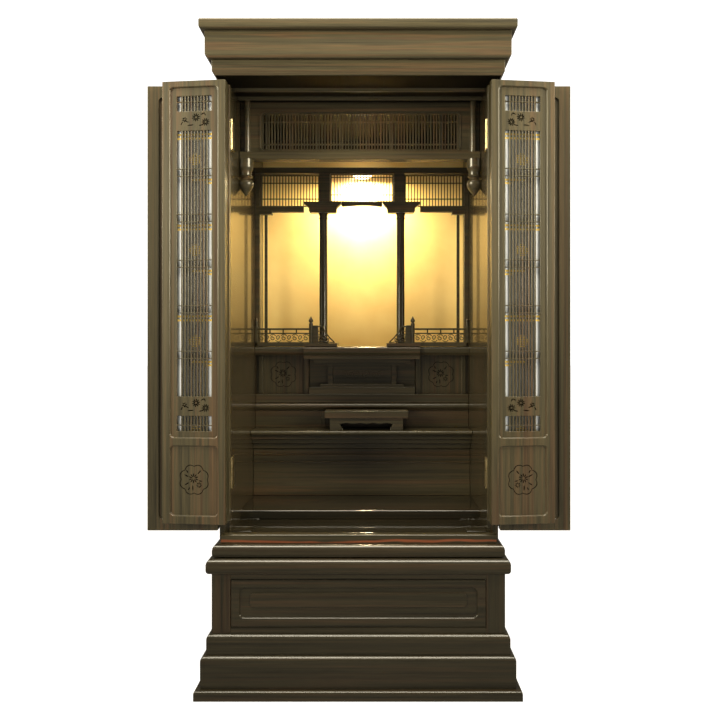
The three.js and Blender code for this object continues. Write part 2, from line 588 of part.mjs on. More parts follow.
// A cutter in leaf coordinates, through y0 to y1.
function leafCutter(shape, [y0, y1]) {
  return alongY(shape, [y0 - FRONT, y1 - FRONT]);
}
function leafBoard([u0, u1], [y0, y1], [z0, z1]) {
  return board([u0, u1], [y0 - FRONT, y1 - FRONT], [z0, z1]);
}

const OUTER_STILE = 24;
const OUTER_RECESS = 4;
function outerLeaf(span) {
  const field = roundedRectangle([span[0] + OUTER_STILE, span[1] - OUTER_STILE],
    [OUTER_LEAF.z[0] + OUTER_STILE, OUTER_LEAF.z[1] - OUTER_STILE], LEAF_CORNER);
  return cut(leafBoard(span, [-OUTER_LEAF.thick, 0], OUTER_LEAF.z),
    leafCutter(field, [-OUTER_RECESS, 5]),
    leafCutter(field, [-OUTER_LEAF.thick - 5, -OUTER_LEAF.thick + OUTER_RECESS]));
}

const STILE = 16.5;
const TOP_RAIL = 13;
const LATTICE_FIELD = 712.6;
const MIDDLE_RAIL = 17.6;
const LOWER_FIELD = 141;
const LATTICE = { width: 73.5, tall: 76.5, short: 13, rail: 1.75, edgeShort: 18, endShort: 11, band: 40,
  margin: 17 };
const SIDE_SLOT = 9;
const SIDE_BAR = 3.5;
const SLOT_BAR = 4;
const SLOTS = 2;
const TALL_ROWS = 6;
const LEAF_RECESS = 4;
const BLOSSOM = { dx: 10, radius: 13, depth: 1.2, petals: 6 };   // carved in each band
const WEB = [LEAF_RECESS, 10];    // the pierced web, measured from the outside face

// Heights of the lattice rows, from the top of the field down.
function latticeRows(fieldTop) {
  const rows = [];
  const bands = [];
  let z = fieldTop - LATTICE.margin;
  const take = (list, height, kind) => {
    list.push({ z: [z - height, z], kind });
    z -= height;
  };
  take(rows, LATTICE.endShort, 'short');
  z -= LATTICE.rail;
  take(rows, LATTICE.edgeShort, 'short');
  take(bands, LATTICE.band);
  for (let i = 0; i < TALL_ROWS; i += 1) {
    take(rows, LATTICE.tall, 'tall');
    if (i < TALL_ROWS - 1) {
      z -= LATTICE.rail;
      take(rows, LATTICE.short, 'short');
      z -= LATTICE.rail;
    }
  }
  take(bands, LATTICE.band);
  take(rows, LATTICE.edgeShort, 'short');
  z -= LATTICE.rail;
  take(rows, LATTICE.endShort, 'short');
  return { rows, bands };
}

function flower(x, z, radius, petals) {
  return outline(Array.from({ length: petals * 2 }, (_, i) => {
    const angle = i / petals * Math.PI;
    const r = i % 2 ? radius * 0.55 : radius;
    return [x + r * Math.sin(angle), z + r * Math.cos(angle)];
  }));
}

function innerLeaf(span) {
  const middle = (span[0] + span[1]) / 2;
  const outside = INNER_LEAF.face;
  const inside = outside + INNER_LEAF.thick;
  const web = WEB.map((depth) => outside + depth);
  const fieldX = [span[0] + STILE, span[1] - STILE];
  const fieldTop = INNER_LEAF.z[1] - TOP_RAIL;
  const lowerTop = fieldTop - LATTICE_FIELD - MIDDLE_RAIL;
  const lowerField = [lowerTop - LOWER_FIELD, lowerTop];
  const { rows, bands } = latticeRows(fieldTop);

  const left = middle - LATTICE.width / 2;
  const right = left + LATTICE.width;
  const slotField = [left + SIDE_SLOT + SIDE_BAR, right - SIDE_SLOT - SIDE_BAR];
  const through = [outside - FRONT, inside - FRONT];
  const slots = rows.flatMap(({ z, kind }) => (kind === 'short'
    ? [board([left, right], through, z)]
    : [board([left, left + SIDE_SLOT], through, z), board([right - SIDE_SLOT, right], through, z),
      ...gridCutters(slotField, [z], SLOTS, SLOT_BAR, through)]));

  const carvings = bands.map(({ z }) => leafCutter(
    flower(middle + BLOSSOM.dx, (z[0] + z[1]) / 2, BLOSSOM.radius, BLOSSOM.petals),
    [web[0] - BLOSSOM.depth, web[0] + 1]));
  const roundelAt = [middle, (lowerField[0] + lowerField[1]) / 2 + 2];
  return join(
    cut(leafBoard(span, [outside, inside], INNER_LEAF.z),
      leafCutter(roundedRectangle(fieldX, [fieldTop - LATTICE_FIELD, fieldTop], LEAF_CORNER),
        [outside - 5, web[0]]),
      leafCutter(rectangle([middle - 45, middle + 45], [fieldTop - LATTICE_FIELD + 4, fieldTop - 4]),
        [web[1], inside + 5]),
      leafCutter(roundedRectangle(fieldX, lowerField, LEAF_CORNER), [outside - 5, web[0]]),
      leafCutter(scallopedOutline(...roundelAt, 32, 8, 3.2), [web[0] - 1, web[0] + 1.2]),
      ...slots),
    leafCutter(flower(...roundelAt, 22, 5), [web[0], web[0] + 2]),
    ...carvings);
}

function gauzeSheet(span) {
  const middle = (span[0] + span[1]) / 2;
  const fieldTop = INNER_LEAF.z[1] - TOP_RAIL;
  const behindWeb = INNER_LEAF.face + WEB[1] + GAP;
  return leafBoard([middle - 44.5, middle + 44.5], [behindWeb, behindWeb + 1],
    [fieldTop - LATTICE_FIELD + 5, fieldTop - 5]);
}

// Hangs a folding pair of leaves on an axis, turned open and folded.
function foldingDoor(side, kind, axis, openAngle, foldAngle, leaf, makeParts) {
  const sign = side === 'left' ? 1 : -1;
  const hand = (geometry) => (side === 'left' ? geometry : mirrored(geometry));
  const swing = new THREE.Group();
  swing.position.set(-sign * axis.x, yAt(axis.setback), 0);
  swing.rotation.z = -sign * openAngle;
  cabinet.add(swing);
  const fold = new THREE.Group();
  fold.position.set(sign * leaf.pivot[0], leaf.pivot[1], 0);
  fold.rotation.z = -sign * foldAngle;
  swing.add(fold);
  for (const [name, geometry, material] of makeParts(leaf.first)) {
    piece(`${name}_${side}_hinge_leaf`, hand(geometry), material, swing);
  }
  for (const [name, geometry, material] of makeParts(leaf.second)) {
    const moved = geometry.translate(-leaf.pivot[0], -leaf.pivot[1], 0);
    piece(`${name}_${side}_fold_leaf`, hand(moved), material, fold);
  }
}

for (const side of ['left', 'right']) {
  foldingDoor(side, 'outer', { x: 294, setback: 72 }, OPEN_ANGLE, OUTER_FOLD, OUTER_LEAF,
    (span) => [['outer_door', outerLeaf(span), ebony]]);
  foldingDoor(side, 'inner', { x: 266.5, setback: 74 }, OPEN_ANGLE, -INNER_FOLD, INNER_LEAF,
    (span) => [['inner_door', innerLeaf(span), ebony], ['gauze', gauzeSheet(span), gauzeCloth]]);
}

export default cabinet;
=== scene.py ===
"""Household altar cabinet in streaked ebony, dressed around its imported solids."""

import math

import bmesh
import bpy
from mathutils import Matrix, Vector


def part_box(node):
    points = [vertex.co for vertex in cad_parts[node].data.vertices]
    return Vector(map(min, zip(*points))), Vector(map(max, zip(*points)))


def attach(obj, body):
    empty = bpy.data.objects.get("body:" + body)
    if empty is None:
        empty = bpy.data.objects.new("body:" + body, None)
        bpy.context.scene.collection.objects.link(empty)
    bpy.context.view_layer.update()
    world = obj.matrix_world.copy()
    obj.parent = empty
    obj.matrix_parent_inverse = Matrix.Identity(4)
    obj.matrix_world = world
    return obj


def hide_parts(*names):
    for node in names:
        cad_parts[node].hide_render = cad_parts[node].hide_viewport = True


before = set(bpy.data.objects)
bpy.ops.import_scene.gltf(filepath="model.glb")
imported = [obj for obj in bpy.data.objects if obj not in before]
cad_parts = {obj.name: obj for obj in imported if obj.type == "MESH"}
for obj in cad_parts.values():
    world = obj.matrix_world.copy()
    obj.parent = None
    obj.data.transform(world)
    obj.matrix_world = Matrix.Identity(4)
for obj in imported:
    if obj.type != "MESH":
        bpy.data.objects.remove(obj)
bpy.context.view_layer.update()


# ---------------------------------------------------------------- base: plinths, carcass and counter
# The base is a plate, two stepped hollow plinths and a box with a counter board on top. All are boards
# veneered with ebony, glued up and eased along their edges, then sprayed with satin lacquer.
MM = 0.001                        # one millimetre in the scene's metres
HEARTWOOD = (0.19, 0.052, 0.020, 1)
VEIN_STEEPNESS = 60               # how fast a vein fades with height, for each metre
VEIN_WANDER = 1.5                 # how far it strays up and down


def new_finish(name):
    """A new material with its nodes, its links and its shader."""
    material = bpy.data.materials.new(name)
    material.use_nodes = True
    nodes = material.node_tree.nodes
    return material, nodes, material.node_tree.links, nodes["Principled BSDF"]


def ebony(name, grain, roughness=0.34, tone=1.0, coat=0.35, coat_roughness=0.14, heart=0.08, gloss=0.30,
          vein=None):
    """Streaked dark ebony with its grain along X, Y or Z, under lacquer.

    Heart is how much red heartwood shows. A vein is a height in millimetres at which one wandering streak of
    heartwood runs along the piece.
    """
    material, nodes, links, shader = new_finish(name)
    place = nodes.new("ShaderNodeTexCoord")
    along = "XYZ".index(grain)

    def noise(across, lengthwise, detail, distortion=0.0):
        stretch = nodes.new("ShaderNodeMapping")
        scale = [across] * 3
        scale[along] = lengthwise
        stretch.inputs["Scale"].default_value = scale
        links.new(place.outputs["Object"], stretch.inputs["Vector"])
        texture = nodes.new("ShaderNodeTexNoise")
        texture.inputs["Scale"].default_value = 1.0
        texture.inputs["Detail"].default_value = detail
        texture.inputs["Roughness"].default_value = 0.6
        texture.inputs["Distortion"].default_value = distortion
        links.new(stretch.outputs["Vector"], texture.inputs["Vector"])
        return texture.outputs["Fac"]

    def ramp(factor, stops):
        colours = nodes.new("ShaderNodeValToRGB")
        while len(colours.color_ramp.elements) < len(stops):
            colours.color_ramp.elements.new(0.5)
        for stop, (position, colour) in zip(colours.color_ramp.elements, stops):
            stop.position = position
            stop.color = (*colour, 1)
        links.new(factor, colours.inputs["Fac"])
        return colours.outputs["Color"]

    def mixed(kind, amount, first, second):
        node = nodes.new("ShaderNodeMix")
        node.data_type, node.blend_type = "RGBA", kind
        for value, socket in ((amount, node.inputs[0]), (first, node.inputs[6]), (second, node.inputs[7])):
            if isinstance(value, bpy.types.NodeSocket):
                links.new(value, socket)
            else:
                socket.default_value = value
        return node.outputs[2]

    black, white = (0, 0, 0), (1, 1, 1)
    streaks = ramp(noise(150, 1.5, 5, 0.5), [
        (0.30, (0.018, 0.0155, 0.0088)), (0.45, (0.032, 0.0270, 0.0145)), (0.55, (0.042, 0.0350, 0.0180)),
        (0.64, (0.054, 0.0370, 0.0190)), (0.74, (0.027, 0.0225, 0.0125))])
    if vein:
        height = nodes.new("ShaderNodeSeparateXYZ")
        links.new(place.outputs["Object"], height.inputs[0])
        rise = nodes.new("ShaderNodeMath")
        rise.operation = "MULTIPLY_ADD"
        rise.inputs[1].default_value = VEIN_STEEPNESS
        rise.inputs[2].default_value = -vein * MM * VEIN_STEEPNESS
        links.new(height.outputs["Z"], rise.inputs[0])
        wander = nodes.new("ShaderNodeMath")
        wander.operation, wander.inputs[1].default_value = "MULTIPLY_ADD", VEIN_WANDER
        links.new(noise(14, 4.5, 3), wander.inputs[0])
        links.new(rise.outputs[0], wander.inputs[2])
        heartwood = ramp(wander.outputs[0], [(0.56, black), (0.70, white), (0.80, white), (0.98, black)])
    else:
        heartwood = ramp(noise(26, 0.5, 3, 0.4), [
            (0.505, black), (0.530, white), (0.555, white), (0.585, black)])
    share = nodes.new("ShaderNodeMath")
    share.operation = "MULTIPLY"
    share.inputs[1].default_value = heart
    links.new(heartwood, share.inputs[0])
    wood = mixed("MIX", share.outputs[0], streaks, HEARTWOOD)
    fine = noise(1000, 14, 3)
    pores = ramp(fine, [(0.34, (0.62, 0.60, 0.58)), (0.58, (1.08, 1.06, 1.02))])
    wood = mixed("MULTIPLY", 0.75, wood, pores)
    links.new(mixed("MULTIPLY", 1.0, wood, (tone, tone, tone, 1)), shader.inputs["Base Color"])

    wear = nodes.new("ShaderNodeMapRange")
    wear.inputs["To Min"].default_value = roughness - 0.05
    wear.inputs["To Max"].default_value = roughness + 0.09
    links.new(noise(12, 3, 4), wear.inputs["Value"])
    links.new(wear.outputs["Result"], shader.inputs["Roughness"])
    bump = nodes.new("ShaderNodeBump")
    bump.inputs["Strength"].default_value, bump.inputs["Distance"].default_value = 0.10, 0.0002
    links.new(fine, bump.inputs["Height"])
    links.new(bump.outputs["Normal"], shader.inputs["Normal"])
    shader.inputs["Specular IOR Level"].default_value = gloss
    shader.inputs["Coat Weight"].default_value = coat
    shader.inputs["Coat Roughness"].default_value = coat_roughness
    return material


ebony_lengthwise = ebony("ebony, grain along the front", "X")
ebony_stand = ebony("darker ebony of the stand", "X", tone=0.46, coat=0.55, heart=0.04)
ebony_stand_upright = ebony("darker ebony of the stand, grain upright", "Z", tone=0.46, coat=0.55)
ebony_upright = ebony("ebony, grain upright", "Z")
# Near-black ebony as painted shade: it darkens the carved cuts and the ceiling behind the transom, where
# shade falls.
ebony_painted_shade = ebony("ebony painted dark as shade", "Z", roughness=0.5, tone=0.12, coat=0.0, gloss=0.10)


def select_only(*pieces):
    """Selects just these pieces and makes the first one active."""
    bpy.ops.object.select_all(action="DESELECT")
    for piece in pieces:
        piece.select_set(True)
    bpy.context.view_layer.objects.active = pieces[0]


def shade(piece):
    """Shades a piece's rounds smooth and keeps its flats flat."""
    select_only(piece)
    bpy.ops.object.shade_smooth_by_angle(angle=math.radians(34))
    evened = piece.modifiers.new("evened", "WEIGHTED_NORMAL")
    evened.keep_sharp, evened.weight = True, 100
    bpy.ops.object.modifier_apply(modifier=evened.name)
    return piece


def soften(piece, width=0.8, segments=2):
    """Eases the sharp edges of a piece, when a width is given, and shades it."""
    select_only(piece)
    if width:
        easing = piece.modifiers.new("easing", "BEVEL")
        easing.width, easing.segments = width * MM, segments
        easing.limit_method, easing.angle_limit = "ANGLE", math.radians(42)
        bpy.ops.object.modifier_apply(modifier=easing.name)
    return shade(piece)


def worked(node):
    """A new piece from a plain solid, with its faces made whole again."""
    piece = bpy.data.objects.new(node + "_worked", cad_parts[node].data.copy())
    bpy.context.scene.collection.objects.link(piece)
    select_only(piece)
    bpy.ops.object.mode_set(mode="EDIT")
    bpy.ops.mesh.select_all(action="SELECT")
    bpy.ops.mesh.remove_doubles(threshold=0.00001)
    bpy.ops.mesh.dissolve_limited(angle_limit=math.radians(0.5))
    bpy.ops.object.mode_set(mode="OBJECT")
    return piece


def settle(piece, name, material, stands_for=(), body="cabinet"):
    """Names and paints a finished piece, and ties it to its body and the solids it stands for."""
    piece.name = piece.data.name = name
    if material:
        piece.data.materials.clear()
        piece.data.materials.append(material)
    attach(piece, body)
    if stands_for:
        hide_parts(*stands_for)
    return piece


for node, ease in [("base_plate", 1.2), ("plinth_lower", 1.2), ("plinth_upper", 1.2), ("base_carcass", 1.0),
                   ("counter_board", 1.2), ("body_floor_board", 1.2)]:
    settle(soften(worked(node), ease), node + "_veneered", ebony_stand, [node])


# ---------------------------------------------------------------- drawer
# The drawer front is one thick board with a sunk field, round at its corners, and a flat raised panel in it.
# The box behind it is boarded and grooved together, and runs on the carcass floor.
def new_shape(add, **how):
    """One of Blender's basic shapes, with its place, turn and size worked into its mesh."""
    bpy.ops.object.select_all(action="DESELECT")
    add(**how)
    bpy.ops.object.transform_apply(location=True, rotation=True, scale=True)
    return bpy.context.object


def block(x, y, z):
    """A board between two widths, two depths and two heights, in millimetres."""
    return new_shape(bpy.ops.mesh.primitive_cube_add, size=1,
                     location=[(a + b) / 2 * MM for a, b in (x, y, z)],
                     scale=[(b - a) * MM for a, b in (x, y, z)])


def on_side(sign, near, far):
    """Two widths from the middle, on the left (-1) or on the right (1), in rising order."""
    return sorted((sign * near, sign * far))


def round_corners(board, radius):
    """Rounds the four edges of a board that run from front to back."""
    select_only(board)
    bpy.ops.object.mode_set(mode="EDIT")
    bpy.ops.mesh.select_mode(type="EDGE")
    bpy.ops.mesh.select_all(action="DESELECT")
    mesh = bmesh.from_edit_mesh(board.data)
    for edge in mesh.edges:
        run = (edge.verts[1].co - edge.verts[0].co).normalized()
        edge.select_set(abs(run.y) > 0.99)
    bmesh.update_edit_mesh(board.data)
    bpy.ops.mesh.bevel(offset=radius * MM, segments=8, affect="EDGES")
    bpy.ops.object.mode_set(mode="OBJECT")
    return board


def carve(board, *cutters, cut_shade=None):
    """Cuts other pieces out of a board and uses them up. The cut faces may take a near-black finish as
    painted shade.
    """
    for cutter in cutters:
        if cut_shade:
            cutter.data.materials.clear()
            cutter.data.materials.append(cut_shade)
        select_only(board)
        modifier = board.modifiers.new("carving", "BOOLEAN")
        modifier.operation, modifier.solver, modifier.object = "DIFFERENCE", "EXACT", cutter
        modifier.use_self = True
        modifier.material_mode = "TRANSFER" if cut_shade else "INDEX"
        bpy.ops.object.modifier_apply(modifier=modifier.name)
        bpy.data.objects.remove(cutter)
    return board


def ease_rim(board, face, x, z, width):
    """Rounds over the rim of a sunk field: the edges on the face within two widths and two heights."""
    select_only(board)
    bpy.ops.object.mode_set(mode="EDIT")
    bpy.ops.mesh.select_mode(type="EDGE")
    bpy.ops.mesh.select_all(action="DESELECT")
    mesh = bmesh.from_edit_mesh(board.data)
    for edge in mesh.edges:
        ends = [corner.co / MM for corner in edge.verts]
        on_rim = all(abs(end.y - face) < 0.01 and x[0] - 0.1 < end.x < x[1] + 0.1
                     and z[0] - 0.1 < end.z < z[1] + 0.1 for end in ends)
        edge.select_set(on_rim and len(edge.link_faces) == 2 and edge.calc_face_angle() > 1)
    bmesh.update_edit_mesh(board.data)
    bpy.ops.mesh.bevel(offset=width * MM, segments=4, affect="EDGES")
    bpy.ops.object.mode_set(mode="OBJECT")
    return board


def glue(*pieces):
    """Joins pieces into one mesh. Plain ones take the first finish found among them."""
    finishes = [piece.data.materials[0] for piece in pieces if piece.data.materials]
    for piece in pieces:
        if finishes and not piece.data.materials:
            piece.data.materials.append(finishes[0])
    select_only(*pieces)
    if len(pieces) > 1:
        bpy.ops.object.join()
    return bpy.context.object


def box_of(node):
    """The low and high corner of a solid, in millimetres."""
    return [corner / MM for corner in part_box(node)]


def board_over(low, high):
    """A board as large as a solid's box."""
    return block((low.x, high.x), (low.y, high.y), (low.z, high.z))


low, high = box_of("base_face_frame")
DRAWER_OPENING_X, DRAWER_OPENING_Z = 259.6, (136.2, 233.6)
stiles = [block(on_side(sign, DRAWER_OPENING_X, high.x), (low.y, high.y), (low.z, high.z))
          for sign in (-1, 1)]
rails = [block((-DRAWER_OPENING_X, DRAWER_OPENING_X), (low.y + 0.3, high.y), heights)
         for heights in ((low.z, DRAWER_OPENING_Z[0]), (DRAWER_OPENING_Z[1], high.z))]
for boards, finish in ((stiles, ebony_stand_upright), (rails, ebony_stand)):
    for board in boards:
        soften(board, 0.8).data.materials.append(finish)
settle(glue(*stiles, *rails), "base_face_frame_joined", None, ["base_face_frame"])

low, high = box_of("drawer_front")
front = low.y
SUNK_X, SUNK_Z = (-241.6, 241.6), (155, 215.6)
drawer = board_over(low, high)
carve(drawer, round_corners(block(SUNK_X, (front - 9, front + 4), SUNK_Z), 11))
soften(ease_rim(drawer, front, SUNK_X, SUNK_Z, 2.4), 0.9, 3)
panel = soften(round_corners(block((-220.7, 220.7), (front + 2.2, front + 5), (176, 205)), 9), 0.7, 2)
settle(glue(drawer, panel), "drawer_front_panelled", ebony_stand, ["drawer_front"], "drawer")
settle(soften(worked("drawer_box"), 1.0), "drawer_box_boarded", ebony_stand, ["drawer_box"], "drawer")

# ---------------------------------------------------------------- pull-out tray and lacquered floor
# The tray slides out between two floor strips, and its front board shows a red streak of heartwood. The tray,
# the strips and the step behind them are sprayed with polished black lacquer.
ebony_heart = ebony("ebony with a red vein", "X", roughness=0.26, tone=0.75, coat=0.5, heart=0.9, vein=305)
settle(soften(worked("slide_tray_front"), 1.0, 3), "tray_front_board", ebony_heart, ["slide_tray_front"],
       "tray")

lacquer = ebony("polished black lacquer", "X", roughness=0.12, tone=0.22, coat=1.0, coat_roughness=0.04,
                heart=0.0)
settle(soften(worked("slide_tray"), 1.0, 2), "tray_board", lacquer, ["slide_tray"], "tray")
settle(soften(worked("floor_surround"), 1.0, 2), "floor_and_step", lacquer, ["floor_surround"])

# ---------------------------------------------------------------- shell and hinge plates
# Two side boards and a back board close the altar space. They are polished, so their inner faces mirror the
# columns and the gold. Long brass hinges are screwed to the side boards.
ebony_polished = ebony("polished ebony, grain upright", "Z", roughness=0.22, tone=0.60, coat=0.6,
                       coat_roughness=0.06)
for node in ("side_panel_left", "side_panel_right", "back_panel"):
    settle(soften(worked(node), 1.2, 3), node + "_polished", ebony_polished, [node])


def two_tone(nodes, stops):
    """A colour ramp between two stops of a position and a colour."""
    tint = nodes.new("ShaderNodeValToRGB")
    for stop, (position, colour) in zip(tint.color_ramp.elements, stops):
        stop.position, stop.color = position, (*colour, 1)
    return tint


brass, nodes, links, shader = new_finish("satin brass")
shader.inputs["Metallic"].default_value = 1.0
place = nodes.new("ShaderNodeTexCoord")
cloudy = nodes.new("ShaderNodeTexNoise")
cloudy.inputs["Scale"].default_value = 90
tint = two_tone(nodes, [(0, (0.40, 0.30, 0.15)), (1, (0.80, 0.66, 0.38))])
dull = nodes.new("ShaderNodeMapRange")
dull.inputs["To Min"].default_value, dull.inputs["To Max"].default_value = 0.22, 0.38
links.new(place.outputs["Object"], cloudy.inputs["Vector"])
links.new(cloudy.outputs["Fac"], tint.inputs["Fac"])
links.new(cloudy.outputs["Fac"], dull.inputs["Value"])
links.new(tint.outputs["Color"], shader.inputs["Base Color"])
links.new(dull.outputs["Result"], shader.inputs["Roughness"])

SIDES = (("left", -1), ("right", 1))
SCREWS, SCREW_PITCH, SCREW_RADIUS = 4, 16, 3.4
SCREW_FLATNESS = 0.07             # the screw heads stay flush, so that the leaf clears them
KNUCKLES, KNUCKLE_RADIUS = 5, 2.4
AXIS_AHEAD = 4                    # the knuckles turn this far in front of the plate
for side, sign in SIDES:
    for height in ("upper", "lower"):
        node = f"hinge_plate_{height}_{side}"
        low, high = box_of(node)
        face = high.x if sign < 0 else low.x
        parts = [soften(board_over(low, high), 0.4)]
        for screw in range(SCREWS):
            place = Vector((face, low.y + 7 + 9 * (screw % 2), low.z + 8 + screw * SCREW_PITCH)) * MM
            head = new_shape(bpy.ops.mesh.primitive_uv_sphere_add, segments=16, ring_count=8,
                             radius=SCREW_RADIUS * MM, location=place, scale=(SCREW_FLATNESS, 1, 1))
            parts.append(soften(head, 0))
        reach = (high.z - low.z) / KNUCKLES
        for knuckle in range(KNUCKLES):
            place = Vector((face, low.y - AXIS_AHEAD, low.z + (knuckle + 0.5) * reach)) * MM
            barrel = new_shape(bpy.ops.mesh.primitive_cylinder_add, vertices=20, radius=KNUCKLE_RADIUS * MM,
                               depth=(reach - 0.5) * MM, location=place)
            parts.append(soften(barrel, 0.3))
        settle(glue(*parts), f"hinge_{height}_{side}", brass, [node])

# ---------------------------------------------------------------- roof
# The roof is a cap board over two stepped fascias. The lower one carries the ceiling, with two beads that
# hide the tops of the doors and the transom. Behind the transom its inside is unpolished and painted near
# black, as painted shade.
BEHIND_TRANSOM, UNDER_CEILING, INSIDE_HALF = -85, 1256.5, 270
ceiling = soften(worked("roof_lower"), 1.0)
ceiling.data.materials.clear()
ceiling.data.materials.append(ebony_lengthwise)
ceiling.data.materials.append(ebony_painted_shade)
# Faces inside the ceiling behind the transom take the near-black finish: painted shade.
for polygon in ceiling.data.polygons:
    x, y, z = polygon.center / MM
    polygon.material_index = int(y > BEHIND_TRANSOM and z < UNDER_CEILING and abs(x) < INSIDE_HALF)
settle(ceiling, "roof_lower_veneered", None, ["roof_lower"])
for node, ease in [("roof_upper", 1.2), ("roof_cap", 1.0)]:
    settle(soften(worked(node), ease), node + "_veneered", ebony_lengthwise, [node])

# ---------------------------------------------------------------- transom with its lattice
# A board across the top of the altar space with a long opening, edged by a round bead. Thin ebony bars on two
# rails fill it, in front of thicker uprights.
OPENING_X, OPENING_Z = (-223, 223), (1147, 1231)
low, high = box_of("transom_panel")
transom = board_over(low, high)
carve(transom, round_corners(block(OPENING_X, (low.y - 5, high.y + 5), OPENING_Z), 8.5))
bead = round_corners(block((-226.5, 226.5), (low.y - 1.6, low.y + 1), (1143.5, 1234.5)), 12)
carve(bead, round_corners(block((-224, 224), (low.y - 6, low.y + 6), (1146, 1232)), 9.5))
settle(glue(soften(transom, 0.8), soften(bead, 0.7)), "transom_board", ebony_lengthwise, ["transom_panel"])


def copied(piece, name):
    """A copy of a piece with a mesh of its own."""
    copy = bpy.data.objects.new(name, piece.data.copy())
    bpy.context.scene.collection.objects.link(copy)
    return copy


def row(first, count, pitch):
    """A piece and its copies, side by side at an even pitch."""
    pieces = [first]
    for step in range(1, count):
        copy = copied(first, "bar")
        copy.data.transform(Matrix.Translation((step * pitch * MM, 0, 0)))
        pieces.append(copy)
    return pieces


def lattice(x, y, z, bars, bar_width, rails, rail_height):
    """Even upright bars between two widths, with flat rails across them."""
    pitch = (x[1] - x[0] - bar_width) / (bars - 1)
    pieces = row(soften(block((x[0], x[0] + bar_width), y, z), 0.3, 1), bars, pitch)
    for height in rails:
        pieces.append(soften(block(x, (y[0] - 0.4, y[1] - 0.6),
                                   (height - rail_height / 2, height + rail_height / 2)), 0.3, 1))
    return glue(*pieces)


def border_of(low, high, y, width, corner=0.0):
    """A border round a box's outline between two depths. Its corners are round when a radius is given."""
    border = block((low.x, high.x), y, (low.z, high.z))
    hole = block((low.x + width[0], high.x - width[0]), (y[0] - 8, y[1] + 8),
                 (low.z + width[1], high.z - width[1]))
    if corner:
        round_corners(border, corner)
        round_corners(hole, corner - 2.5)
    return carve(border, hole)


low, high = box_of("transom_lattice")
bars = lattice((low.x + 3, high.x - 3), (low.y + 0.5, high.y - 0.8), (low.z + 1, high.z - 1), 67, 3.0,
               [1161, 1211], 2.8)
edge = soften(border_of(low, high, (low.y, high.y), (3, 3), 8.5), 0.4)
FIRST_POST, POST_PITCH, POST_HALF = -210, 56, 2.2
posts = [block((x - POST_HALF, x + POST_HALF), (high.y - 0.9, high.y), (low.z + 1, high.z - 1))
         for x in (FIRST_POST + POST_PITCH * count for count in range(8))]
settle(glue(bars, edge, *posts), "transom_bars", ebony_upright, ["transom_lattice"])


# The beam under the transom carries a round post and a turned pendant at each end, planed flat at the wall.
def turned(profile, x, y, sides=32):
    """A turned piece from [radius, height] steps, drawn up from a disc by extruding and scaling its rim."""
    radius, height = profile[0]
    piece = new_shape(bpy.ops.mesh.primitive_circle_add, vertices=sides, radius=radius * MM,
                      fill_type="NGON", location=(x * MM, y * MM, height * MM))
    bpy.ops.object.mode_set(mode="EDIT")
    bpy.ops.mesh.select_all(action="SELECT")
    for next_radius, next_height in profile[1:]:
        lift = (next_height - height) * MM
        bpy.ops.mesh.extrude_region_move(TRANSFORM_OT_translate={"value": (0, 0, lift)})
        scale = next_radius / radius
        bpy.ops.transform.resize(value=(scale, scale, 1), center_override=(x * MM, y * MM, next_height * MM))
        radius, height = next_radius, next_height
    bpy.ops.mesh.select_all(action="SELECT")
    bpy.ops.mesh.normals_make_consistent(inside=False)
    bpy.ops.object.mode_set(mode="OBJECT")
    bpy.ops.object.shade_smooth_by_angle(angle=math.radians(38))
    return piece


WALL, PENDANT_X, PENDANT_Y = 267.7, 254.6, -102
low, high = box_of("transom_beam")
parts = [soften(block((low.x, high.x), (-111, -85), (1122, 1140)), 2.0, 3)]
for sign in (-1, 1):
    parts.append(turned([(6.7, 1138), (6.7, 1254.5)], sign * 252, PENDANT_Y))
    pendant = turned([(0.6, 1042), (3.2, 1045), (6.6, 1049), (11.2, 1055), (14.8, 1060.5), (16.6, 1065),
                      (17, 1069), (16.4, 1073), (14.2, 1076.5), (10.8, 1079), (10, 1080.5), (10.6, 1082),
                      (13.8, 1083.4), (14.5, 1085), (13.9, 1086.8), (12.4, 1088), (12.6, 1094), (14.0, 1099),
                      (16.0, 1103), (16.4, 1106), (16.4, 1123)], sign * PENDANT_X, PENDANT_Y, 40)
    parts.append(shade(carve(pendant, block(on_side(sign, WALL, WALL + 22.3), (-125, -80), (1038, 1126)))))
settle(glue(*parts), "transom_beam_turned", ebony_lengthwise, ["transom_beam"])

# ---------------------------------------------------------------- dais, step and altar plinth
# The raised floor at the back: a moulded front board, a nosed top board, and a step with a low panelled wall
# under its shelf. A plinth board on the shelf carries the altar.
for node, ease in [("dais_front", 0.7), ("dais_top", 1.0), ("step_wall", 0.8), ("step_shelf", 1.0),
                   ("altar_plinth", 1.0)]:
    settle(soften(worked(node), ease), node + "_moulded", ebony_lengthwise, [node])


# ---------------------------------------------------------------- altar sides with engraved roundels
# Upright panels beside the pedestal, each framed by two posts. A scalloped roundel with a flower spray is cut
# into each panel with a V tool.
def scalloped(x, z, radius, lobes, y):
    """A plate with a scalloped rim, between two depths."""
    plate = new_shape(bpy.ops.mesh.primitive_cylinder_add, vertices=96, radius=radius * MM,
                      depth=(y[1] - y[0]) * MM, location=(x * MM, (y[0] + y[1]) / 2 * MM, z * MM),
                      rotation=(math.radians(90), 0, 0))
    for point in plate.data.vertices:
        across, up = point.co.x - x * MM, point.co.z - z * MM
        share = 1 - 0.13 * (1 - abs(math.sin(math.atan2(across, up) * lobes / 2)))
        point.co.x, point.co.z = x * MM + across * share, z * MM + up * share
    return plate


def petal(x, z, length, width, angle, y, start=0.0):
    """A slim leaf-shaped solid that points away from (x, z) at an angle from upright."""
    middle = start + length / 2
    return new_shape(
        bpy.ops.mesh.primitive_uv_sphere_add, segments=12, ring_count=8, radius=MM, rotation=(0, angle, 0),
        scale=(width / 2, (y[1] - y[0]) / 2, length / 2),
        location=((x + middle * math.sin(angle)) * MM, (y[0] + y[1]) / 2 * MM,
                  (z + middle * math.cos(angle)) * MM))


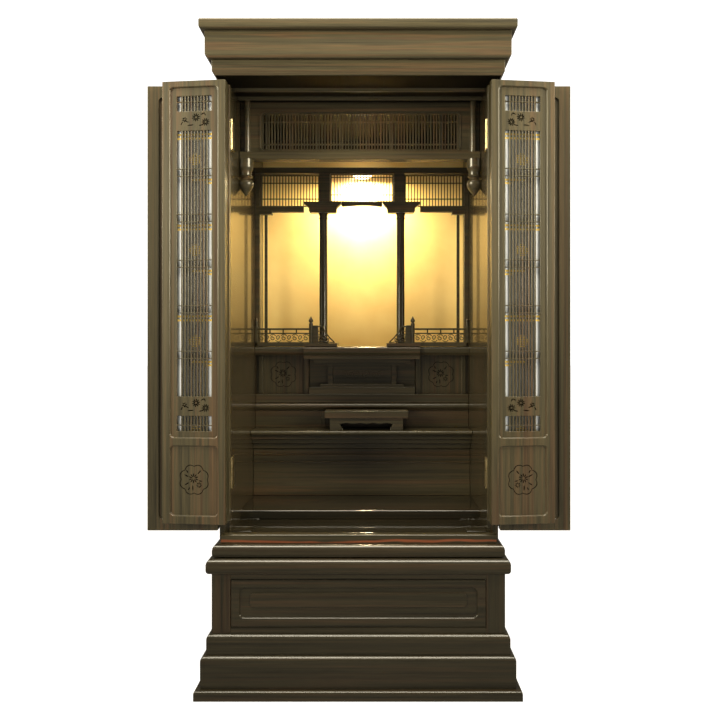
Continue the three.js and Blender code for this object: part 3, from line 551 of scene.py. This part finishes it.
def flower_cutters(x, z, radius, petals, width, y, turn=0.0, heart=0.28):
    """Cutters for one flower: narrow petals around a heart, which is left standing."""
    return [petal(x, z, radius * (1 - heart), width, turn + count * 2 * math.pi / petals, y, radius * heart)
            for count in range(petals)]


def roundel_cutters(x, z, radius, face, groove=1.6, depth=1.6):
    """Cutters for an engraved scalloped ring with a spray of one flower, a bud and leaves inside."""
    lobes = 8
    ring = scalloped(x, z, radius, lobes, (face - 3, face + depth))
    carve(ring, scalloped(x, z, radius - groove, lobes, (face - 6, face + depth + 3)))
    y = (face - depth, face + depth)
    share = radius / 33           # the spray is drawn for a ring of 33 mm
    spray = [*flower_cutters(x - share, z + 3 * share, 10.5 * share, 10, 2.4 * share, y),
             *flower_cutters(x + 11 * share, z - 11 * share, 6.5 * share, 8, 1.9 * share, y)]
    for dx, dz, length, angle in [(-12, 6, 10, -1.1), (-11, -6, 11, -2.1), (8, 12, 10, 0.7),
                                  (-3, -12, 11, 3.1), (10, -2, 8, 1.7), (-13, 14, 7, -0.5),
                                  (-9, -16, 7, -2.6)]:
        spray.append(petal(x + dx * share, z + dz * share, length * share, 2.6 * share, angle, y))
    return [ring, glue(*spray)]


ALTAR_FACE, ROUNDEL_X, ROUNDEL_Z = 124, 201, 637
for side, sign in SIDES:
    low, high = box_of(f"altar_side_{side}")
    height = (low.z, high.z)
    panel = block(on_side(sign, 136, WALL), (ALTAR_FACE, 136), height)
    panel.data.materials.append(ebony_upright)
    # The engraved grooves take the near-black finish: painted shade in the cuts.
    carve(panel, *roundel_cutters(sign * ROUNDEL_X, ROUNDEL_Z, 34, ALTAR_FACE), cut_shade=ebony_painted_shade)
    posts = [soften(block(on_side(sign, *x), (118, 126), height), 1.0, 3) for x in ((136, 149), (252, 263))]
    settle(glue(panel, *posts), f"altar_side_{side}_carved", None, [f"altar_side_{side}"])

# ---------------------------------------------------------------- pedestal and altar platform
# A stepped pedestal in the middle of the altar: courses that step in and out again, two posts, and a middle
# panel with a low cloud scroll in relief. The platform board lies over it with a rounded nose.
def relief_line(points, thickness, y, flat=0.6):
    """A low rounded ridge or tendril through points across the front, made from a curve and then a mesh."""
    bpy.ops.object.select_all(action="DESELECT")
    line = bpy.data.curves.new("tendril", "CURVE")
    line.dimensions = "3D"
    line.bevel_depth, line.bevel_resolution, line.resolution_u = thickness / 2 * MM, 2, 6
    line.use_fill_caps = True
    spline = line.splines.new("NURBS")
    spline.points.add(len(points) - 1)
    for point, (x, z) in zip(spline.points, points):
        point.co = (x * MM, 0, z * MM, 1)
    spline.use_endpoint_u = True
    spline.order_u = 3
    ridge = bpy.data.objects.new("tendril", line)
    bpy.context.scene.collection.objects.link(ridge)
    select_only(ridge)
    bpy.ops.object.convert(target="MESH")
    ridge = bpy.context.object
    ridge.data.transform(Matrix.Translation((0, y * MM, 0)) @ Matrix.Diagonal((1, flat, 1, 1)))
    bpy.ops.object.shade_smooth()
    return ridge


def curl(x, z, radius, hand, turns, start):
    """Points of a cloud curl that winds inwards."""
    points, steps = [], 10
    for step in range(steps + 1):
        share = step / steps
        angle = start + hand * share * turns * 2 * math.pi
        reach = radius * (1 - 0.72 * share)
        points.append((x + reach * math.sin(angle), z + reach * math.cos(angle)))
    return points


def mirrored(points, sign):
    """The same points on the left (-1) or on the right (1)."""
    return [(sign * x, z) for x, z in points]


parts = [soften(worked("altar_pedestal"), 0.7)]
face = 125
parts += [relief_line(curl(sign * reach, 637 + lift, 7, sign, 1.2, start), 1.7, face)
          for sign in (-1, 1) for reach, lift, start in ((14, 2, 3.6), (29, -1, 2.4), (44, 2, 3.4))]
for thickness, tendril in (
        (1.6, [(3, 631), (12, 626), (24, 628), (36, 626), (52, 634), (60, 631)]),
        (1.3, [(8, 645), (22, 648), (38, 645), (56, 648), (63, 643)])):
    parts += [relief_line(mirrored(tendril, sign), thickness, face) for sign in (-1, 1)]
for x, z, length in ((0, 630, 9), (-5, 629, 7), (5, 629, 7)):
    blossom = petal(x, z, length, 4.2, (x / 5) * 0.8, (face - 1.1, face + 1.1))
    select_only(blossom)
    bpy.ops.object.shade_smooth()
    parts.append(blossom)
settle(glue(*parts), "altar_pedestal_carved", ebony_lengthwise, ["altar_pedestal"])
settle(soften(worked("altar_platform"), 1.0), "altar_platform_nosed", ebony_lengthwise, ["altar_platform"])

# ---------------------------------------------------------------- railings with finial posts
# A low railing closes each side niche: two rails, a row of pierced cloud scroll, and posts with turned flame
# finials. A pierced scroll wing joins the large post to the column foot.
FINIAL = [(0.62, 15), (0.60, 16), (1.02, 17.5), (1.14, 19.2), (1.10, 21.2), (0.85, 23.2), (0.52, 25.4),
          (0.28, 27.4), (0.08, 29.4)]


def finial_post(x, y, radius, bottom, top):
    """A round post with a neck ring and a flame-shaped finial."""
    unit = radius / 4.2           # the finial is drawn for a post of 4.2 mm
    profile = [(radius, bottom), (radius, top - 15.4 * unit)]
    profile += [(width * radius, top - (FINIAL[-1][1] - height) * unit) for width, height in FINIAL]
    return turned(profile, x, y, 24)


PLATE_TOP = 708.3
WING = [[(109, 757), (102, 759), (95, 753), (92, 744), (86, 737), (80, 729), (72, 722), (68, 717)],
        [(109, 745), (103, 748), (98, 742), (101, 736), (107, 738)],
        [(108, 731), (101, 733), (94, 728), (88, 732), (90, 725), (98, 722), (107, 725)],
        [(92, 744), (88, 737), (93, 733), (99, 737)],
        [(108, 718), (98, 719), (88, 720), (78, 718), (70, 718)],
        [(84, 729), (80, 723), (86, 719)],
        [(109, 751), (109, 738), (109, 725), (109, 716)]]
for side, sign in SIDES:
    # Boards by width, depth and height, each with the ease of its edges and the steps of the ease.
    boards = [((61.5, 146), (77, 145), (PLATE_TOP, 716), 0.8, 2),
              ((132, 267), (87.3, 93.5), (PLATE_TOP, 718.5), 0.7, 2),
              ((131, 262), (87.5, 91.5), (749, 753.5), 1.0, 3),
              ((131, 262), (87.8, 91.2), (739, 742), 0.7, 2),
              ((260, 267), (87.3, 94.3), (PLATE_TOP, 758), 0.8, 2),
              ((109, 122.5), (78.5, 89), (715, 760), 1.4, 3)]
    parts = [soften(block(on_side(sign, *x), y, z), ease, steps) for x, y, z, ease, steps in boards]
    parts += [finial_post(sign * 263.5, 90.8, 3.0, 757, 780), finial_post(sign * 127, 84.5, 4.9, 715.5, 783)]
    for count in range(3):
        x = sign * (164 + count * 33)
        parts.append(soften(block((x - 1.6, x + 1.6), (88, 91), (741, 750)), 0.4, 1))
    for count in range(9):
        x = sign * (140 + count * 13.8)
        hand = 1 if count % 2 else -1
        cloud = curl(x, 729.5 + hand * 1.2, 6.2, hand, 1.15, math.pi if hand > 0 else 0)
        tail = [(x + dx, 729 - hand * drop) for dx, drop in ((-7, 6), (-2, 9.5), (3, 9.5), (7, 5))]
        parts += [relief_line(cloud, 2.0, 89.5, 0.9), relief_line(tail, 1.9, 89.5, 0.9)]
    for number, points in enumerate(WING):
        parts.append(relief_line(mirrored(points, sign), 3.2 if number == 0 else 2.4, 81.2, 0.9))
    settle(glue(*parts), f"railing_{side}_pierced", ebony_lengthwise, [f"railing_{side}"])

# ---------------------------------------------------------------- columns, brackets and sanctuary frame
# Turned columns stand on the railing plates and carry stepped boat brackets. Upper posts rise from those to
# the frame that closes the sanctuary, with a shallow arched beam over the middle niche.
for side, sign in SIDES:
    column = turned([(13, 716.3), (13, 720.4), (12.2, 721.4), (11, 722.6), (11.2, 724.2), (12, 726),
                     (11.6, 728), (10.2, 729.6), (10, 731), (10, 1025.5), (10.4, 1027), (11.4, 1028.6),
                     (11.4, 1030.4), (10.3, 1032), (10.2, 1034), (11.2, 1038), (12.5, 1041), (12.5, 1042.7)],
                    sign * 97, 99, 40)
    settle(column, f"column_{side}_turned", ebony_polished, [f"column_{side}"])
    node = f"bracket_{side}"
    settle(soften(worked(node), 0.8), node + "_shaped", ebony_lengthwise, [node])
settle(soften(worked("sanctuary_beam"), 0.8), "sanctuary_beam_arched", ebony_lengthwise, ["sanctuary_beam"])
settle(soften(worked("sanctuary_frame"), 0.8), "sanctuary_frame_eased", ebony_lengthwise, ["sanctuary_frame"])

# ---------------------------------------------------------------- grilles over the niches
# Fine ebony grilles fill the frame above each niche: thin upright bars, two rails, and on the middle one a
# pierced cloud ornament.
for node, bars, rails in (("grille_left", 20, (1081, 1121)), ("grille_right", 20, (1081, 1121)),
                          ("grille_center", 22, (1089, 1133))):
    low, high = box_of(node)
    depth = (high.y - 4.6, high.y - 1) if node != "grille_center" else (98, 100.6)
    parts = [lattice((low.x + 1.5, high.x - 1.5), depth, (low.z + 0.6, high.z - 0.6), bars, 2.3, rails, 2.4),
             soften(border_of(low, high, (depth[0] - 0.8, depth[1] + 0.8), (2.6, 2.2)), 0.4, 1)]
    if node == "grille_center":
        ornament = [[(0, 1103), (7, 1098), (17, 1099), (21, 1105), (29, 1101), (38, 1106), (41, 1112)],
                    [(0, 1111), (4, 1120), (13, 1122), (20, 1116), (18, 1109), (12, 1109), (12, 1114)],
                    [(21, 1105), (22, 1113), (30, 1116), (35, 1111), (31, 1107), (27, 1109)]]
        for sign in (-1, 1):
            parts += [relief_line(mirrored(points, sign), 2.6, 96.2, 0.9) for points in ornament]
    settle(glue(*parts), node + "_barred", ebony_upright, [node])

# ---------------------------------------------------------------- gold backboard and lamp
# The backboard is covered with gold paper, almost matte with a fine grit. A small round lamp hangs from the
# frame in front of it and lights the niches.
gold, nodes, links, shader = new_finish("gold paper")
place = nodes.new("ShaderNodeTexCoord")
cloudy = nodes.new("ShaderNodeTexNoise")
cloudy.inputs["Scale"].default_value, cloudy.inputs["Detail"].default_value = 14, 6
tint = two_tone(nodes, [(0.2, (0.90, 0.64, 0.24)), (0.8, (0.98, 0.76, 0.32))])
grit = nodes.new("ShaderNodeTexNoise")
grit.inputs["Scale"].default_value = 900
relief = nodes.new("ShaderNodeBump")
relief.inputs["Strength"].default_value, relief.inputs["Distance"].default_value = 0.25, 0.0002
links.new(place.outputs["Object"], cloudy.inputs["Vector"])
links.new(place.outputs["Object"], grit.inputs["Vector"])
links.new(cloudy.outputs["Fac"], tint.inputs["Fac"])
links.new(tint.outputs["Color"], shader.inputs["Base Color"])
links.new(grit.outputs["Fac"], relief.inputs["Height"])
links.new(relief.outputs["Normal"], shader.inputs["Normal"])
shader.inputs["Metallic"].default_value = 0.1
shader.inputs["Roughness"].default_value = 0.48
settle(soften(worked("gold_backboard"), 0.4), "gold_papered_board", gold, ["gold_backboard"])

glass, nodes, links, shader = new_finish("frosted lamp glass")
shader.inputs["Base Color"].default_value = (1.0, 0.90, 0.70, 1)
shader.inputs["Roughness"].default_value = 0.35
shader.inputs["Emission Color"].default_value = (1.0, 0.80, 0.50, 1)
shader.inputs["Emission Strength"].default_value = 6.0
LAMP_Y = 157
lamp = turned([(19, 1147), (21.5, 1147.6), (23.2, 1149), (24, 1151), (24, 1156.6), (23.4, 1157.6),
               (22.4, 1158)], 0, LAMP_Y, 40)
arm = soften(block((-6.6, 6.6), (114.6, 150), (1152.4, 1157.4)), 0.8)
settle(glue(lamp, arm), "lamp_frosted", glass, ["lamp"])

# ---------------------------------------------------------------- offering table
# A small low table of lacquered ebony that stands on the dais: a thick top, four corner legs and a cusped
# apron.
settle(soften(worked("offering_table"), 0.9), "offering_table_cusped", ebony_lengthwise, ["offering_table"])

# ---------------------------------------------------------------- outer doors
# Solid leaves of board veneered with ebony, two on each side, with a shallow sunk field on both faces. Turned
# fully open, a pair lies folded flat beside the cabinet.
for side, _ in SIDES:
    for leaf in ("hinge", "fold"):
        node = f"outer_door_{side}_{leaf}_leaf"
        settle(soften(worked(node), 0.9), f"outer_leaf_{side}_{leaf}", ebony_upright, [node],
               f"{side}_outer_{leaf}_leaf")

# ---------------------------------------------------------------- inner doors
# Lattice leaves, two on each side. A frame holds a sunk web with fine bars and rails, two bands carved with
# flowers, and a lower panel with an engraved roundel. One leaf is made closed and flat, then copied and hung.
LEAF_X, LEAF_Y, LEAF_Z = (0.5, 132.75), (2.5, 18.5), (345, 1246.5)
STILE, TOP_RAIL, FIELD, MIDDLE_RAIL, LOWER_FIELD = 16.5, 13, 712.6, 17.6, 141
SUNK, WEB_BACK, RIM_EASE = 4, 10, 2.6
LATTICE_WIDTH, SIDE_SLOT, SLOT_PITCH, BAR, BARS = 73.5, 9, 6.5625, 3.0, 9
MARGIN, END_ROW, RAIL, EDGE_ROW, BAND, TALL_ROW, SHORT_ROW = 17, 11, 1.75, 18, 40, 76.5, 13
TALL_ROWS = 6
SHORT_ROWS = TALL_ROWS - 1
CUT_THROUGH = 25                  # behind the leaf's back

middle = sum(LEAF_X) / 2
field_top = LEAF_Z[1] - TOP_RAIL
lower_top = field_top - FIELD - MIDDLE_RAIL
face = LEAF_Y[0] + SUNK
web_back = LEAF_Y[0] + WEB_BACK
field_x = (LEAF_X[0] + STILE, LEAF_X[1] - STILE)
fields = [(field_top - FIELD, field_top), (lower_top - LOWER_FIELD, lower_top)]

leaf = block(LEAF_X, LEAF_Y, LEAF_Z)
carve(leaf, *[round_corners(block(field_x, (-3, face), field), 8) for field in fields],
      block((middle - 45, middle + 45), (web_back, CUT_THROUGH), (fields[0][0] + 4, fields[0][1] - 4)))
left = middle - LATTICE_WIDTH / 2
right = left + LATTICE_WIDTH

# From the top down: a short region of lattice, a flower band, the main region, a band and a short region.
end_height = END_ROW + RAIL + EDGE_ROW
main_height = TALL_ROWS * TALL_ROW + SHORT_ROWS * (SHORT_ROW + 2 * RAIL)
top = field_top - MARGIN
regions, bands = [], []
for height in (end_height, main_height, end_height):
    regions.append((top - height, top))
    bands.append(top - height - BAND / 2)
    top -= height + BAND
bands.pop()
carve(leaf, *[block((left, right), (0, CUT_THROUGH), region) for region in regions])
for field in fields:
    ease_rim(leaf, LEAF_Y[0], field_x, field, RIM_EASE)
soften(leaf, 0.8, 3)
leaf.data.materials.append(ebony_upright)

parts = []
for bottom, top in regions:
    first = block((left + SIDE_SLOT, left + SIDE_SLOT + BAR), (face + 0.7, web_back - 0.8),
                  (bottom - 0.6, top + 0.6))
    parts += row(soften(first, 0.35, 1), BARS, SLOT_PITCH)
rails = [regions[0][1] - END_ROW - RAIL, regions[2][0] + END_ROW]
level = regions[1][1]
for count in range(SHORT_ROWS):
    for height in (TALL_ROW, SHORT_ROW):
        level -= height + RAIL
        rails.append(level)
for level in rails:
    rail = block((left - 0.6, right + 0.6), (face + 0.2, web_back - 1.4), (level, level + RAIL))
    parts.append(soften(rail, 0.3, 1))

cut_y = (face - 4, face + 4)
cutters = []
for level in bands:
    for dx, dz, radius, petals, turn in ((4, 7, 8.8, 10, 0.1), (24, -3, 8.4, 10, 0.3), (-20, 3, 5.5, 6, 0.2)):
        cutters += flower_cutters(middle + dx, level + dz, radius, petals, 2.3, cut_y, turn, 0.2)
    for dx, dz, length, angle in ((-11, -3, 12, -1.2), (-14, -9, 13, 1.5), (10, -10, 10, 1.4),
                                  (14, 12, 9, 1.1), (24, 10, 6, -0.4), (-28, -8, 8, 0.5)):
        cutters.append(petal(middle + dx, level + dz, length, 2.2, angle, cut_y))
# The carved flowers and the roundel take the near-black finish: painted shade in the cuts.
carve(leaf, glue(*cutters), cut_shade=ebony_painted_shade)
carve(leaf, *roundel_cutters(middle, sum(fields[1]) / 2 + 2, 32, face, 1.8, 1.7), cut_shade=ebony_painted_shade)
leaf = glue(leaf, *parts)

INNER_AXIS, INNER_PIVOT = (266.5, -201.0), (133.0, 18.75)
OPEN_ANGLE, FOLD_ANGLE = math.pi, math.radians(174)
LEAF_GAP = 0.25


def hang(piece, side, leaf_kind):
    """Moves a closed leaf in its own coordinates to its open, folded place, for either side."""
    place = (Matrix.Translation((-INNER_AXIS[0] * MM, INNER_AXIS[1] * MM, 0))
             @ Matrix.Rotation(-OPEN_ANGLE, 4, "Z"))
    if leaf_kind == "fold":
        # The second leaf is drawn like the first, moved along by one leaf's width.
        place = (place @ Matrix.Translation((INNER_PIVOT[0] * MM, INNER_PIVOT[1] * MM, 0))
                 @ Matrix.Rotation(FOLD_ANGLE, 4, "Z")
                 @ Matrix.Translation(((LEAF_GAP - LEAF_X[0]) * MM, -INNER_PIVOT[1] * MM, 0)))
    piece.data.transform(place)
    if side == "right":
        piece.data.transform(Matrix.Diagonal((-1, 1, 1, 1)))
        piece.data.flip_normals()
    return shade(piece)


# Dark silk gauze with gold brocade is stretched behind each lattice, with a painted highlight along each
# side.
gauze, nodes, links, shader = new_finish("silk gauze with gold brocade")
cloth_uv = nodes.new("ShaderNodeUVMap")
cloth_uv.uv_map = "cloth"
split = nodes.new("ShaderNodeSeparateXYZ")
links.new(cloth_uv.outputs["UV"], split.inputs[0])


def maths(operation, first, second=None):
    """The result of one sum on values of the gauze's pattern."""
    node = gauze.node_tree.nodes.new("ShaderNodeMath")
    node.operation = operation
    for value, socket in ((first, node.inputs[0]), (second, node.inputs[1])):
        if isinstance(value, bpy.types.NodeSocket):
            gauze.node_tree.links.new(value, socket)
        elif value is not None:
            socket.default_value = value
    return node.outputs[0]


GAUZE = (89.0, 702.6)             # the cloth's cut, in millimetres
BROCADE_REPEAT, FIRST_ROW, LINE_HALF = 186.0, 82.75, 2.0
MEDALLION_HEIGHT, MEDALLION_RADIUS = 57.0, 12.49
# Where the painted highlight runs along each side of the cloth, and its half width, in millimetres.
HIGHLIGHT_REACH, HIGHLIGHT_HALF = 31.5, 3.2
GOLD_WAVE, WARP_WAVE = 1.43, 12.0  # how fast the threads repeat, in radians for each millimetre
across = maths("MULTIPLY", split.outputs["X"], GAUZE[0])
down = maths("MULTIPLY", split.outputs["Y"], GAUZE[1])
from_middle = maths("SUBTRACT", across, GAUZE[0] / 2)
start = maths("SUBTRACT", GAUZE[1] - FIRST_ROW, down)
repeat = maths("MULTIPLY", maths("FRACT", maths("DIVIDE", start, BROCADE_REPEAT)), BROCADE_REPEAT)


def brocade_line(height, from_x):
    """A line of gold weft at a height within the repeat, from one width to the right edge."""
    near = maths("LESS_THAN", maths("ABSOLUTE", maths("SUBTRACT", repeat, height)), LINE_HALF)
    return maths("MULTIPLY", near, maths("GREATER_THAN", from_middle, from_x))


def laid_over(amount, under, colour):
    """A colour laid over another one by an amount."""
    mix = gauze.node_tree.nodes.new("ShaderNodeMix")
    mix.data_type = "RGBA"
    gauze.node_tree.links.new(amount, mix.inputs[0])
    gauze.node_tree.links.new(under, mix.inputs[6])
    mix.inputs[7].default_value = colour
    return mix.outputs[2]


from_centre = maths("SUBTRACT", repeat, MEDALLION_HEIGHT)
distance = maths("ADD", maths("MULTIPLY", from_centre, from_centre),
                 maths("MULTIPLY", from_middle, from_middle))
gold_threads = maths("MULTIPLY", maths("LESS_THAN", distance, MEDALLION_RADIUS ** 2),
                     maths("GREATER_THAN", maths("SINE", maths("MULTIPLY", repeat, GOLD_WAVE)), 0.0))
for height, from_x in ((6, -50), (14, -50), (99, -6), (106, 22)):
    gold_threads = maths("MAXIMUM", gold_threads, brocade_line(height, from_x))
weave = nodes.new("ShaderNodeTexNoise")
weave.inputs["Scale"].default_value = 2.0
stretch = nodes.new("ShaderNodeMapping")
stretch.inputs["Scale"].default_value = (60, 12, 1)
links.new(cloth_uv.outputs["UV"], stretch.inputs["Vector"])
links.new(stretch.outputs["Vector"], weave.inputs["Vector"])
tint = two_tone(nodes, [(0.3, (0.10, 0.11, 0.11)), (0.7, (0.24, 0.25, 0.25))])
links.new(weave.outputs["Fac"], tint.inputs["Fac"])
# A painted highlight: the cloth turns near white in a narrow band along each side.
past_highlight = maths("SUBTRACT", maths("ABSOLUTE", from_middle), HIGHLIGHT_REACH)
off_highlight = maths("ABSOLUTE", maths("DIVIDE", past_highlight, HIGHLIGHT_HALF))
painted_highlight = maths("MAXIMUM", maths("SUBTRACT", 1.0, off_highlight), 0.0)
highlighted = laid_over(maths("MULTIPLY", painted_highlight, 0.9), tint.outputs["Color"], (0.86, 0.90, 0.94, 1))
links.new(laid_over(gold_threads, highlighted, (0.80, 0.55, 0.11, 1)), shader.inputs["Base Color"])
shader.inputs["Roughness"].default_value = 0.55
shader.inputs["Sheen Weight"].default_value = 0.4
threads = nodes.new("ShaderNodeBump")
threads.inputs["Strength"].default_value, threads.inputs["Distance"].default_value = 0.3, 0.0002
links.new(maths("SINE", maths("MULTIPLY", across, WARP_WAVE)), threads.inputs["Height"])
links.new(threads.outputs["Normal"], shader.inputs["Normal"])

cloth = new_shape(bpy.ops.mesh.primitive_grid_add, x_subdivisions=12, y_subdivisions=60, size=1)
cloth.data.uv_layers[0].name = "cloth"
cloth_middle = (middle, web_back + 0.6, sum(fields[0]) / 2)
cloth.data.transform(
    Matrix.Translation([value * MM for value in cloth_middle])
    @ Matrix.Rotation(math.radians(90), 4, "X") @ Matrix.Diagonal((GAUZE[0] * MM, GAUZE[1] * MM, 1, 1)))

for side, _ in SIDES:
    for kind in ("hinge", "fold"):
        body = f"{side}_inner_{kind}_leaf"
        door = hang(copied(leaf, "door"), side, kind)
        settle(door, f"inner_leaf_{side}_{kind}", None, [f"inner_door_{side}_{kind}_leaf"], body)
        piece = hang(copied(cloth, "gauze"), side, kind)
        settle(piece, f"gauze_cloth_{side}_{kind}", gauze, [f"gauze_{side}_{kind}_leaf"], body)
bpy.data.objects.remove(leaf)
bpy.data.objects.remove(cloth)

# ---------------------------------------------------------------- camera, light and floor
# A plain studio: two soft lights at the sides, one overhead, and the lamp inside the cabinet. The world looks
# white but is dim as a light. The pale floor glows a little and isn't mirrored by the polished boards.
camera = bpy.data.objects.new("camera", bpy.data.cameras.new("camera"))
bpy.context.scene.collection.objects.link(camera)
camera.location = (0.0377, -1.675, 0.699)
camera.rotation_euler = (math.radians(90), 0, 0)
camera.data.lens = 35.26
camera.data.sensor_width = 36
camera.data.shift_x = -0.0236
camera.data.shift_y = -0.0139
bpy.context.scene.camera = camera
bpy.context.scene.view_settings.view_transform = "Standard"

world = bpy.data.worlds.new("studio")
bpy.context.scene.world = world
world.use_nodes = True
nodes, links = world.node_tree.nodes, world.node_tree.links
dim = nodes["Background"]
dim.inputs["Color"].default_value, dim.inputs["Strength"].default_value = (1, 0.92, 0.76, 1), 0.14
white = nodes.new("ShaderNodeBackground")
white.inputs["Color"].default_value, white.inputs["Strength"].default_value = (1, 1, 1, 1), 1.4
path = nodes.new("ShaderNodeLightPath")
chosen = nodes.new("ShaderNodeMixShader")
links.new(path.outputs["Is Camera Ray"], chosen.inputs["Fac"])
links.new(dim.outputs["Background"], chosen.inputs[1])
links.new(white.outputs["Background"], chosen.inputs[2])
links.new(chosen.outputs["Shader"], nodes["World Output"].inputs["Surface"])


def area_light(name, location, aim, size, power, colour, spread=180):
    """A flat light at one place, turned towards another."""
    light = bpy.data.objects.new(name, bpy.data.lights.new(name, "AREA"))
    bpy.context.scene.collection.objects.link(light)
    light.data.shape = "RECTANGLE"
    light.data.size, light.data.size_y = size
    light.data.energy, light.data.color, light.data.spread = power, colour, math.radians(spread)
    light.location = location
    light.rotation_euler = (Vector(aim) - Vector(location)).to_track_quat("-Z", "Y").to_euler()


for sign in (-1, 1):
    area_light("key", (sign * 2.6, -2.0, 1.75), (0, -0.15, 1.24), (1.3, 1.4), 17, (1.0, 0.90, 0.64), 44)
area_light("overhead", (0, -1.0, 2.9), (0, -0.55, 0), (2.4, 1.0), 150, (1.0, 0.91, 0.72))
area_light("lamp_glow", (0, LAMP_Y * MM, 1.144), (0, 0.19, 0.8), (0.045, 0.045), 6, (1.0, 0.79, 0.44))

bpy.ops.object.select_all(action="DESELECT")
bpy.ops.mesh.primitive_plane_add(size=60, location=(0, 0, -0.0005))
floor = bpy.context.object
bpy.ops.object.transform_apply(location=True)
floor.name = "studio_floor"
floor.visible_glossy = False
pale, nodes, links, shader = new_finish("pale floor")
shader.inputs["Base Color"].default_value = (0.4, 0.4, 0.4, 1)
shader.inputs["Roughness"].default_value = 0.9
shader.inputs["Emission Color"].default_value = (1, 0.98, 0.96, 1)
shader.inputs["Emission Strength"].default_value = 1.04
floor.data.materials.append(pale)
